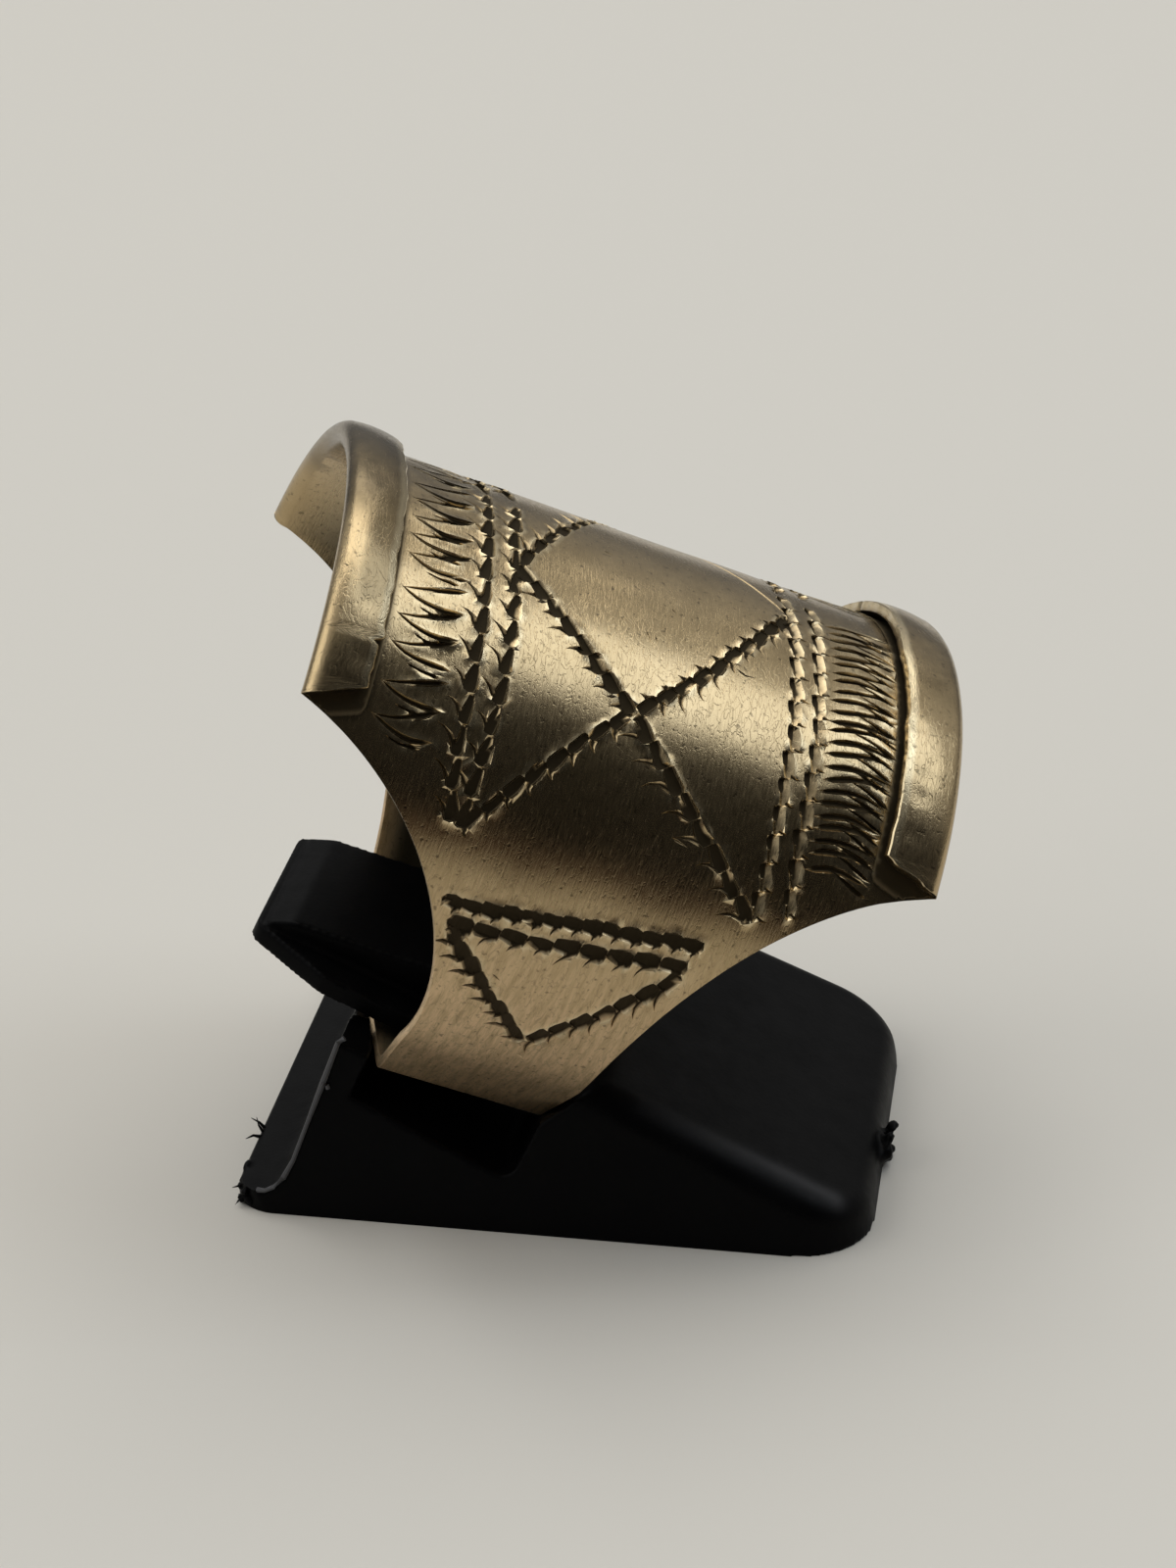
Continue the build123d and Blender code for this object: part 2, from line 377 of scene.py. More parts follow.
def bumped(tree, height, strength, distance):
    """The normal of a surface with a small relief."""
    inputs = {"Height": height, "Strength": strength, "Distance": distance}
    return add_node(tree, "ShaderNodeBump", inputs).outputs["Normal"]


def finish_material(tree, **inputs):
    """Ends a tree in a Principled shader, inputs named with underscores for spaces."""
    named = {name.replace("_", " "): value for name, value in inputs.items()}
    shader = add_node(tree, "ShaderNodeBsdfPrincipled", named)
    add_node(tree, "ShaderNodeOutputMaterial", {"Surface": shader.outputs["BSDF"]})


def new_material(name):
    """A material with an empty tree."""
    material = bpy.data.materials.new(name)
    material.use_nodes = True
    material.node_tree.nodes.clear()
    return material, material.node_tree


# BAND: its section and outline

LEG_START = (OUTER_R * math.sin(ARC_HALF_ANGLE), OUTER_R * math.cos(ARC_HALF_ANGLE))
LEG_RUN = (LEG_START[1] + BOTTOM_DEPTH) / math.sin(ARC_HALF_ANGLE)
CORNER_TURN = math.pi - ARC_HALF_ANGLE
CORNER_TRIM = BOTTOM_CORNER_R * math.tan(CORNER_TURN / 2)
FOOT_H = LEG_START[0] + LEG_RUN * math.cos(ARC_HALF_ANGLE)
ARC_END = OUTER_R * ARC_HALF_ANGLE
LEG_END = ARC_END + LEG_RUN - CORNER_TRIM
CORNER_END = LEG_END + BOTTOM_CORNER_R * CORNER_TURN
HALF_ROUND = CORNER_END + FOOT_H - CORNER_TRIM


def band_frame(run):
    """The band's outer surface at each run round it: across, height, and the way out."""
    side = np.where(run < 0, -1.0, 1.0)
    a = np.abs(run)
    turn = np.where(a < ARC_END, a / OUTER_R, ARC_HALF_ANGLE)
    turn = np.where(a > LEG_END, ARC_HALF_ANGLE + (a - LEG_END) / BOTTOM_CORNER_R, turn)
    turn = np.where(a > CORNER_END, math.pi, turn)
    h = OUTER_R * np.sin(turn)
    z = OUTER_R * np.cos(turn)
    leg = a - ARC_END
    on_leg = (a >= ARC_END) & (a <= LEG_END)
    h = np.where(on_leg, LEG_START[0] + leg * math.cos(ARC_HALF_ANGLE), h)
    z = np.where(on_leg, LEG_START[1] - leg * math.sin(ARC_HALF_ANGLE), z)
    corner = (a > LEG_END) & (a <= CORNER_END)
    h = np.where(corner, FOOT_H - CORNER_TRIM + BOTTOM_CORNER_R * np.sin(turn), h)
    z = np.where(corner, -BOTTOM_DEPTH + BOTTOM_CORNER_R * (1 + np.cos(turn)), z)
    flat = a > CORNER_END
    h = np.where(flat, HALF_ROUND - a, h)
    z = np.where(flat, -BOTTOM_DEPTH, z)
    return -side * h, z, -side * np.sin(turn), np.cos(turn)


def unevenness(x, run):
    """The sheet's slight waves, fading out at the bottom."""
    fade = np.clip((HALF_ROUND - 3 - np.abs(run)) / 4, 0, 1)
    waves = np.sin(0.83 * x + 0.41 * run + 1.0) * np.sin(0.37 * run - 0.61 * x + 0.4)
    waves = waves + 0.5 * np.sin(0.62 * run + 1.13 * x) + 0.3 * np.sin(1.7 * run - 0.9 * x + 2.0)
    return WAVE_HEIGHT * fade * waves


def lifted_points(x, run, lift):
    """Points at a lift off the band's true surface, in the band's own axes, in millimetres."""
    y, z, out_y, out_z = band_frame(run)
    return np.stack([stretched(x), y + lift * out_y, z + lift * out_z], axis=-1)


def place_points(x, run, height):
    """Points at a height over the band's slightly uneven surface."""
    return lifted_points(x, run, height + unevenness(x, run))


def circle_through(a, b, c):
    """Centre and radius of the circle through three points."""
    d = 2 * (a[0] * (b[1] - c[1]) + b[0] * (c[1] - a[1]) + c[0] * (a[1] - b[1]))
    sums = [p[0] ** 2 + p[1] ** 2 for p in (a, b, c)]
    x = (sums[0] * (b[1] - c[1]) + sums[1] * (c[1] - a[1]) + sums[2] * (a[1] - b[1])) / d
    y = (sums[0] * (c[0] - b[0]) + sums[1] * (a[0] - c[0]) + sums[2] * (b[0] - a[0])) / d
    return (x, y), math.dist((x, y), a)


FLARE_CENTRE, FLARE_R = circle_through((PLATE_HALF_LENGTH, PLATE_TIP_Z), FLARE, WAIST)


def tangent_circle():
    """The circle that leaves the flare's arc smoothly at the waist and passes the shank."""
    way = np.array(WAIST) - np.array(FLARE_CENTRE)
    way = way / np.linalg.norm(way)
    gap = np.array(SHANK) - np.array(WAIST)
    reach = gap @ gap / (2 * (gap @ way))
    centre = np.array(WAIST) + reach * way
    return centre, abs(reach)


LOWER_CENTRE, LOWER_R = tangent_circle()


def half_width(z):
    """Half of the band's width at each height, from the side outline."""
    z = np.asarray(z, float)
    side = -1 if FLARE_CENTRE[0] > WAIST[0] else 1
    flare = FLARE_CENTRE[0] + side * np.sqrt(np.maximum(FLARE_R**2 - (z - FLARE_CENTRE[1]) ** 2, 0))
    side = -1 if LOWER_CENTRE[0] > WAIST[0] else 1
    lower = LOWER_CENTRE[0] + side * np.sqrt(np.maximum(LOWER_R**2 - (z - LOWER_CENTRE[1]) ** 2, 0))
    t = (z - SHANK[1]) / (-BOTTOM_DEPTH - SHANK[1])
    foot = SHANK[0] + t * (SHANK_HALF_WIDTH - SHANK[0])
    width = np.where(z > WAIST[1], flare, lower)
    width = np.where(z < SHANK[1], foot, width)
    return np.where(z >= PLATE_TIP_Z, PLATE_HALF_LENGTH, width)


def stretched(x):
    """The right rim of the real ring stands a little farther out than the left one."""
    t = np.clip((x - DRAWN_FROM) / DRAWN_OVER, 0, 1)
    return x + DRAWN_OUT * t * t * (3 - 2 * t)


def band_rows():
    """Runs at which the band has a row of points, closer together at the rims' ends and a bite."""
    tip = OUTER_R * math.acos(PLATE_TIP_Z / OUTER_R)
    plain = np.linspace(-HALF_ROUND, HALF_ROUND, 2 * round(HALF_ROUND / ROW_STEP) + 1)
    near_tip = np.arange(tip - 1.0, tip + 0.5, TIP_ROW_STEP)
    near_tip = np.append(near_tip, [tip - 1e-4])
    plain = plain[np.abs(np.abs(plain) - tip + 0.25) > 0.8]
    near_bite = np.arange(9.15, 9.75, TIP_ROW_STEP)
    return np.unique(np.concatenate([plain, near_tip, -near_tip, near_bite]).round(5))


def rim_edge(side, run):
    """Where the rim's free edge is and how high its slit, at one row. Past its slanted end, None."""
    column = dict(zip(RIM_COLUMNS, [rim for rim in RIMS if rim[0] == side][0]))
    _, z, _, _ = band_frame(np.array([run]))
    z = float(z[0])
    if z < PLATE_TIP_Z or abs(run) > ARC_END / 2 + 2:
        return None
    ragged, phase = column["ragged"], column["phase"]
    wobble = math.sin(1.3 * run + phase) + 0.6 * math.sin(3.1 * run + 2 * phase) + 0.5 * math.sin(7.3 * run)
    edge = RIM_EDGE_X + 0.02 + ragged * wobble * 0.5
    edge += sum(size * math.exp(-(((run - at) / wide) ** 2)) for at, size, wide in column["bites"])
    run_x = PLATE_HALF_LENGTH - RIM_EDGE_X
    cut = PLATE_HALF_LENGTH - (z - PLATE_TIP_Z) / RIM_END_RISE * run_x
    cut += column["torn"] * math.sin(17 * (z - PLATE_TIP_Z) + phase) * min((z - PLATE_TIP_Z) / 0.15, 1)
    cut = min(cut, PLATE_HALF_LENGTH - 1e-3)
    slit = column["slit"] * (0.85 + 0.15 * math.sin(0.9 * run + phase))
    return max(edge, cut), slit


def rim_path(side, run):
    """Points (x, height) from the plate round the rim to the inner side, at one row, and their first x."""
    _, z, _, out_z = band_frame(np.array([run]))
    found = rim_edge(side, run)
    if found is None:
        outer = float(half_width(z)[0])
        inner = float(half_width(z - SHEET_T * out_z)[0])
        t = np.linspace(0, 1, FOLD_COUNT)
        bulge = EDGE_BULGE * np.sin(np.pi * t)
        x = outer + (inner - outer) * t + bulge
        points = [(outer, 0.0)] * (RIM_TOP_COLUMN + TOP_COUNT) + list(zip(x, -SHEET_T * t))
        return points, outer
    free_x, slit = found
    start = min(max(free_x, RIM_SLIT_X), PLATE_HALF_LENGTH)

    def roof(x):
        t = (x - RIM_EDGE_X) / (FOLD_X - RIM_EDGE_X)
        crown = RIM_CROWN * math.sin(math.pi * min(max(t, 0), 1)) ** 0.8
        return slit + FREE_EDGE_T + (RIM_FOLD_TOP - slit - FREE_EDGE_T) * t + crown

    points = []
    low = slit * max(RIM_SLIT_X - free_x, 0) / (RIM_SLIT_X - RIM_EDGE_X)
    for t in np.linspace(0, 1, UNDER_COUNT):
        x = start + (free_x - start) * t
        points.append((x, low * t))
    if free_x > FOLD_X:
        first = math.acos(min((free_x - FOLD_X) / FOLD_R, 1.0))
        high = FOLD_MID + FOLD_R * math.sin(first)
    else:
        first = math.pi / 2
        high = roof(free_x)
    soft = min(SOFT_EDGE, (high - low) / 4)
    points += [
        (free_x - soft * 0.3, low + soft),
        (free_x - soft * 0.5, (low + high) / 2),
        (free_x - soft * 0.3, high - soft),
        (free_x + soft * 0.6, high),
    ]
    for t in np.linspace(0, 1, TOP_COUNT + 1)[1:]:
        x = free_x + max(FOLD_X - free_x, 0) * t
        points.append((x, high if free_x > FOLD_X else roof(x)))
    for angle in np.linspace(first, -math.pi / 2, FOLD_COUNT + 1)[1:]:
        points.append((FOLD_X + FOLD_R * math.cos(angle), FOLD_MID + FOLD_R * math.sin(angle)))
    return points, start


# ENGRAVING: every mark is a cut with a valley, two banks and a depth at each station


def new_cut(points, left, right, depth, lip=0.0, clean=0.0, floor=0.0):
    """One cut: stations along it, its width to each side there, and its depth there."""
    return {
        "points": np.array(points, float),
        "left": np.array(left, float),
        "right": np.array(right, float),
        "depth": np.array(depth, float),
        "lip": lip,
        "clean": clean,
        "floor": floor,
    }


def along(path, at):
    """Points of a path at lengths along it."""
    path = np.array(path, float)
    steps = np.r_[0, np.cumsum(np.hypot(*np.diff(path, axis=0).T))]
    at = np.clip(at, 0, steps[-1])
    return np.stack([np.interp(at, steps, path[:, 0]), np.interp(at, steps, path[:, 1])], axis=-1)


def mirrored(path, mirror):
    """A path on the near half, or its mirror image on the far one."""
    return [(x, mirror * run) for x, run in path]


def path_length(path):
    """The length of a path."""
    return float(np.hypot(*np.diff(np.array(path, float), axis=0).T).sum())


def curved_barb(start, reach, bend, wide, depth):
    """A thin curved cut that tapers to a point."""
    start, reach = np.array(start), np.array(reach)
    square = np.array([-reach[1], reach[0]])
    t = np.array([0.0, 0.12, 0.45, 0.75, 1.0])
    points = start + t[:, None] * reach + (bend * np.sin(np.pi * t))[:, None] * square
    shape = np.array([0.0, 1.0, 0.66, 0.33, 0.0])
    return new_cut(points, shape * wide, shape * wide * 0.8, np.array([0.0, 1.0, 0.85, 0.55, 0.0]) * depth)


def wriggle_line(line, mirror, depth):
    """A line walked by a rocked graver: overlapping scoops, each with a barb."""
    row = dict(zip(LINE_COLUMNS, line))
    path = mirrored(row["path"], mirror)
    length = path_length(path)
    count = max(round(length / row["pitch"]), 1)
    pitch = length / count
    marks = [dict(zip(MARK_COLUMNS, mark)) for mark in STYLES[row["style"]]]
    cuts = []
    for k in range(count):
        size = draws.uniform(*STEP_SIZES)
        shift = draws.uniform(*STEP_SHIFTS)
        wide = row["half_width"] * size
        ends = along(path, np.array([k, k + 1]) * pitch)
        way = ends[1] - ends[0]
        way = way / np.linalg.norm(way)
        square = np.array([way[1], -way[0]])
        barb = np.array([row["barb"][0], mirror * row["barb"][1]])
        barb_side = math.copysign(1.0, barb @ square)
        for mark in marks:
            at, shape_wide, shape_deep = (np.array(mark[key]) for key in ("at", "wide", "deep"))
            points = along(path, (k + at) * pitch)
            if k == 0:
                points[0] = points[1] - way * 0.1
            if k == count - 1:
                points[-1] = points[-2] + way * 0.07
            # each mark leans across the line, toward its barb as it ends
            lean = ((at - 0.5) * 0.14 + mark["aside"]) * barb_side
            points = points + (lean + shift)[:, None] * square
            to_barb = shape_wide * wide * mark["barb_reach"] * draws.uniform(*BANK_WIDTHS, len(at))
            to_far = shape_wide * wide * mark["far_reach"] * draws.uniform(*BANK_WIDTHS, len(at))
            right, left = (to_barb, to_far) if barb_side > 0 else (to_far, to_barb)
            deep = shape_deep * depth * size
            cuts.append(new_cut(points, left, right, deep, mark["lip"], mark["clean"], mark["floor"]))
        start = along(path, np.array([(k + 0.8) * pitch]))[0] + square * barb_side * wide * 0.7
        reach = barb * draws.uniform(*BARB_LENGTHS)
        thick = BARB_WIDTHS[row["style"]]
        bend = BARB_BEND * draws.uniform(0.5, 1.5)
        cuts.append(curved_barb(start, reach, bend, thick * draws.uniform(0.8, 1.15), BARB_DEPTH))
        if row["horn"] is not None:
            horn = np.array([row["horn"][0], mirror * row["horn"][1]])
            start = along(path, np.array([(k + 0.3) * pitch]))[0] - square * barb_side * wide * 0.5
            cuts.append(curved_barb(start, horn * draws.uniform(0.8, 1.2), 0.1, 0.12, BARB_DEPTH))
    return cuts


def fringe_stroke(points, wide, deep_end):
    """A curved hair stroke, thickest near one of its ends."""
    path = [tuple(p) for p in points]
    t = np.linspace(0, 1, 8)
    at = t * path_length(path)
    smooth = along(path, at)
    smooth[1:-1] = 0.25 * smooth[:-2] + 0.5 * smooth[1:-1] + 0.25 * smooth[2:]
    rise = np.array([0.0, 0.45, 0.6, 0.75, 0.9, 1.0, 0.85, 0.0])
    shape = rise if deep_end else rise[::-1]
    return new_cut(smooth, shape * wide, shape * wide * 0.7, shape * FRINGE_DEPTH, lip=0.025, floor=0.45)


def left_fringe(mirror):
    """Strokes in threes, the outer two opening like a V from the left rim."""
    cuts = []
    for start in LEFT_FRINGE_STARTS:
        if mirror < 0 and start < 0.5:
            continue
        j = draws.uniform(-0.08, 0.08, 8)
        lower = [
            (-9.2, start),
            (-8.75, start + 0.28 + j[0]),
            (-8.2, start + 0.5 + j[1]),
            (-7.5, start + 0.55 + j[2]),
            (-6.85, start + 0.42 + j[3]),
        ]
        upper = [
            (-9.15, start + 0.06),
            (-8.4, start - 0.02 + j[4]),
            (-7.6, start - 0.3 + j[5]),
            (-6.85, start - 0.62 + j[6]),
        ]
        middle = [(-8.45, start + 0.66 + j[7]), (-7.9, start + 0.8), (-7.2, start + 0.76 + j[3])]
        for path, wide in ((lower, 0.19), (upper, 0.16), (middle, 0.11)):
            cuts.append(fringe_stroke(mirrored(path, mirror), wide, True))
    return cuts


def right_fringe(mirror):
    """Close strokes that leave the right outer line and bend down at the rim."""
    cuts = []
    count = round((RIGHT_FRINGE_LAST - RIGHT_FRINGE_FIRST) / RIGHT_FRINGE_PITCH)
    for k in range(count + 1):
        s = RIGHT_FRINGE_FIRST + k * RIGHT_FRINGE_PITCH + draws.uniform(-0.06, 0.06)
        j = draws.uniform(-0.07, 0.07, 4)
        fan = 0.14 if k % 2 else -0.1
        end = 9.38 + draws.uniform(-0.12, 0.04)
        first = 6.72 + 0.25 * max(s - 10, 0) * 0.4 + draws.uniform(-0.05, 0.08)
        path = [
            (first, s),
            (7.3, s - 0.26 + j[0]),
            (8.0, s - 0.38 + j[1]),
            (8.7, s - 0.36 + fan * 0.6 + j[2]),
            (end, s - 0.2 + fan),
        ]
        cuts.append(fringe_stroke(mirrored(path, mirror), draws.uniform(0.16, 0.22), False))
        start = (7.75 + draws.uniform(-0.2, 0.2), s - 0.26)
        branch = [start, (8.4, s - 0.1 + j[3]), (9.0, s + 0.14 + j[2]), (end + 0.05, s + 0.34)]
        cuts.append(fringe_stroke(mirrored(branch, mirror), draws.uniform(0.09, 0.14), True))
    return cuts


def plain_cut(path, wide, depth):
    """A thin plain line."""
    stations = along(path, np.linspace(0, 1, 14) * path_length(path))
    shape = np.r_[0.0, np.ones(12), 0.0]
    return new_cut(stations, shape * wide, shape * wide, shape * depth)


def all_cuts(depth):
    """Every cut in the band."""
    cuts = []
    for line in LINES:
        for mirror in (1, -1):
            cuts += wriggle_line(line, mirror, depth)
    for line in NEAR_LINES:
        cuts += wriggle_line(line, 1, depth)
        if not line[0].startswith("cross"):
            cuts += wriggle_line(line, -1, depth)
    for line in FAR_LINES:
        cuts += wriggle_line(line, 1, depth)
    cuts.append(plain_cut(PLAIN_LINE, PLAIN_HALF_WIDTH, depth / 2))
    for path in STRAY_CUTS:
        stations = along(path, np.linspace(0, 1, 5) * path_length(path))
        taper = np.array([0.0, 1.0, 0.8, 0.5, 0.0])
        cuts.append(new_cut(stations, taper * 0.05, taper * 0.04, taper * 0.04))
    for mirror in (1, -1):
        cuts += left_fringe(mirror) + right_fringe(mirror)
    return cuts


def cut_depths(points, cuts, margin):
    """How deep each point lies in the deepest cut over it, how dark it is there, and
    whether it is within a cut's margin."""
    order = np.argsort(points[:, 1], kind="stable")
    runs = points[order, 1]
    deepest = np.zeros(len(points))
    shade = np.zeros(len(points))
    within = np.zeros(len(points), bool)
    for cut in cuts:
        stations = cut["points"]
        reach = max(cut["left"].max(), cut["right"].max()) + margin
        low, high = stations.min(axis=0) - reach, stations.max(axis=0) + reach
        first, last = np.searchsorted(runs, [low[1], high[1]])
        near = order[first:last]
        near = near[(points[near, 0] > low[0]) & (points[near, 0] < high[0])]
        if not len(near):
            continue
        q = points[near]
        for k in range(len(stations) - 1):
            a, b = stations[k], stations[k + 1]
            way = b - a
            length = float(np.hypot(*way))
            if length < 1e-6:
                continue
            t = ((q - a) @ way) / length**2
            slack = margin / length
            held = (t > -slack - 1e-6) & (t < 1 + slack + 1e-6)
            t = np.clip(t, 0, 1)
            off = ((q - a)[:, 0] * way[1] - (q - a)[:, 1] * way[0]) / length
            right = cut["right"][k] + t * (cut["right"][k + 1] - cut["right"][k])
            left = cut["left"][k] + t * (cut["left"][k + 1] - cut["left"][k])
            wide = np.where(off > 0, right, left)
            depth = cut["depth"][k] + t * (cut["depth"][k + 1] - cut["depth"][k])
            share = 1 - np.abs(off) / np.maximum(wide, 1e-6)
            if cut["floor"]:
                wall = 1 - cut["floor"]
                on_floor = FLOOR_SHARE + (1 - FLOOR_SHARE) * (share - wall) / cut["floor"]
                share = np.where(share < wall, share / wall * FLOOR_SHARE, on_floor)
            deep_here = np.where(held & (share > 0), share * depth, 0)
            deepest[near] = np.maximum(deepest[near], deep_here)
            dark = np.clip((deep_here - cut["clean"]) / FULL_PATINA_DEPTH, 0, 1)
            shade[near] = np.maximum(shade[near], dark)
            within[near] |= held & (np.abs(off) < wide + margin)
    return deepest, shade, within


def cut_mesh(cuts):
    """Points and edges that the sheet's triangles have to follow: banks, valleys and tips."""
    points, edges, lips = [], [], []
    for cut in cuts:
        stations = cut["points"]
        count = len(stations)
        way = np.gradient(stations, axis=0)
        way = way / np.maximum(np.hypot(way[:, 0], way[:, 1]), 1e-9)[:, None]
        square = np.stack([way[:, 1], -way[:, 0]], axis=-1)
        base = len(points)
        points += [tuple(p) for p in stations]
        lips += [0.0] * (count - 1) + [cut["lip"]]
        edges += [(base + k, base + k + 1) for k in range(count - 1)]
        for sign, wide in ((1, cut["right"]), (-1, cut["left"])):
            inner = [k for k in range(count) if wide[k] > 1e-6]
            for part in (1.0, cut["floor"]) if cut["floor"] else (1.0,):
                bank = stations[inner] + sign * part * wide[inner, None] * square[inner]
                first = len(points)
                points += [tuple(p) for p in bank]
                lips += [cut["lip"] * (k / (count - 1)) ** 0.9 if part == 1.0 else 0.0 for k in inner]
                chain = [base + inner[0] - 1, *range(first, first + len(inner)), base + inner[-1] + 1]
                edges += list(zip(chain[:-1], chain[1:]))
    return points, edges, lips


def engraved_sheet(rows, edge_x, depth):
    """The band's outer surface, triangulated so that every cut keeps its crisp banks."""
    cuts = all_cuts(depth)
    points, edges, lips = cut_mesh(cuts)
    grid = []
    for k, run in enumerate(rows):
        left, right = edge_x[-1][k], edge_x[1][k]
        offset = GRID_STEP / 2 * (k % 2)
        x = np.arange(-12, 12.01, GRID_STEP) + offset
        x = x[(x > -left + EDGE_GAP) & (x < right - EDGE_GAP)]
        if k in (0, len(rows) - 1):
            x = np.arange(-2.8, 2.81, GRID_STEP)
        grid += [(float(v), float(run)) for v in x]
    grid = np.array(grid)
    dense = np.abs(np.abs(grid[:, 1]) - DENSE_RUN) < DENSE_REACH
    thinned = dense & (np.random.RandomState(3).uniform(size=len(grid)) < LEFT_OUT)
    _, _, within = cut_depths(grid, cuts, CUT_GAP)
    grid = grid[~within & ~thinned]
    points += [tuple(p) for p in grid]
    lips += [0.0] * len(grid)
    for side in (1, -1):
        first = len(points)
        points += [(side * float(edge_x[side][k]), float(run)) for k, run in enumerate(rows)]
        lips += [0.0] * len(rows)
        edges += [(first + k, first + k + 1) for k in range(len(rows) - 1)]
    flat = [Vector(p) for p in points]
    made, _, faces, origins, _, _ = delaunay_2d_cdt(flat, edges, [], 0, MERGE_DISTANCE / 2, True)
    made = np.array([(v.x, v.y) for v in made])
    faces = np.array([f for f in faces if len(f) == 3])
    middle = made[faces].mean(axis=1)
    right = np.interp(middle[:, 1], rows, edge_x[1])
    left = np.interp(middle[:, 1], rows, edge_x[-1])
    faces = faces[(middle[:, 0] < right) & (middle[:, 0] > -left)]
    low, shade, _ = cut_depths(made, cuts, 0.0)
    lips = np.array(lips)
    lip = np.array([max([lips[o] for o in found], default=0.0) for found in origins])
    lip = np.where(low < LIP_LIMIT, lip, 0.0) * np.random.RandomState(5).uniform(0.4, 1.5, len(made))
    return made, faces, low, shade, lip


class MeshParts:
    """Gathers points, faces and their values for one mesh."""

    def __init__(self):
        self.points, self.faces, self.wrap, self.cut, self.worn, self.inner = [], [], [], [], [], []
        self.count = 0

    def add(self, points, faces, wrap, cut, worn, inner=0.0):
        self.faces += [tuple(int(v) + self.count for v in face) for face in faces]
        self.points.append(points)
        self.wrap.append(wrap)
        self.cut.append(cut)
        self.worn.append(worn)
        self.inner.append(np.zeros(len(points)) + inner)
        self.count += len(points)

    def add_grid(self, points, wrap, cut, worn, inner=0.0):
        rows, columns = points.shape[:2]
        at = np.arange(rows * columns).reshape(rows, columns)
        faces = np.stack([at[:-1, :-1], at[1:, :-1], at[1:, 1:], at[:-1, 1:]], axis=-1).reshape(-1, 4)
        flat = [v.reshape(-1) for v in (cut, worn)]
        self.add(points.reshape(-1, 3), faces, wrap.reshape(-1, 2), *flat, inner)

    def finish(self, name, place):
        """The mesh in metres, with coinciding points merged and its faces turned outward."""
        mesh = bpy.data.meshes.new(name)
        mesh.from_pydata(np.concatenate(self.points).tolist(), [], self.faces)
        for key, values in (("cut", self.cut), ("worn", self.worn), ("inner", self.inner)):
            layer = mesh.attributes.new(key, "FLOAT", "POINT")
            layer.data.foreach_set("value", np.concatenate(values).astype(np.float32))
        loops = np.zeros(len(mesh.loops), np.int32)
        mesh.loops.foreach_get("vertex_index", loops)
        layer = mesh.uv_layers.new(name="unrolled")
        layer.uv.foreach_set("vector", np.concatenate(self.wrap)[loops].astype(np.float32).ravel())
        work = bmesh.new()
        work.from_mesh(mesh)
        bmesh.ops.remove_doubles(work, verts=work.verts, dist=MERGE_DISTANCE)
        bmesh.ops.dissolve_degenerate(work, edges=work.edges, dist=MERGE_DISTANCE / 3)
        bmesh.ops.recalc_face_normals(work, faces=work.faces)
        if work.calc_volume(signed=True) < 0:
            bmesh.ops.reverse_faces(work, faces=work.faces)
        work.transform(Matrix.Scale(MM, 4) @ place)
        work.to_mesh(mesh)
        work.free()
        mesh.shade_smooth()
        mesh.set_sharp_from_angle(angle=RING_SHARP_ANGLE)
        return mesh


WRAP_SCALE = 100.0
# what patchy tarnish leaves of the silver's red, green, blue and alpha
DULLING = (0.74, 0.72, 0.66, 1.0)


def wrap_of(x, run):
    """Place on the unrolled sheet, with WRAP_SCALE millimetres taken as 1, about 0.5."""
    return np.stack([0.5 + run / WRAP_SCALE, 0.5 + x / WRAP_SCALE], axis=-1)


def plate_patina_and_shade(x, run):
    """Dark patina and painted shade on the plate under the rims, fading out just past their edges."""
    past_edge = np.clip((np.abs(x) - RIM_EDGE_X + 0.4) / 0.36, 0, 1)
    _, z, _, _ = band_frame(run)
    slant = PLATE_TIP_Z + RIM_END_RISE * (PLATE_HALF_LENGTH - np.abs(x)) / (PLATE_HALF_LENGTH - RIM_EDGE_X)
    under_end = np.clip(1.8 - (slant - z) / 0.65, 0, 1)
    return past_edge * under_end


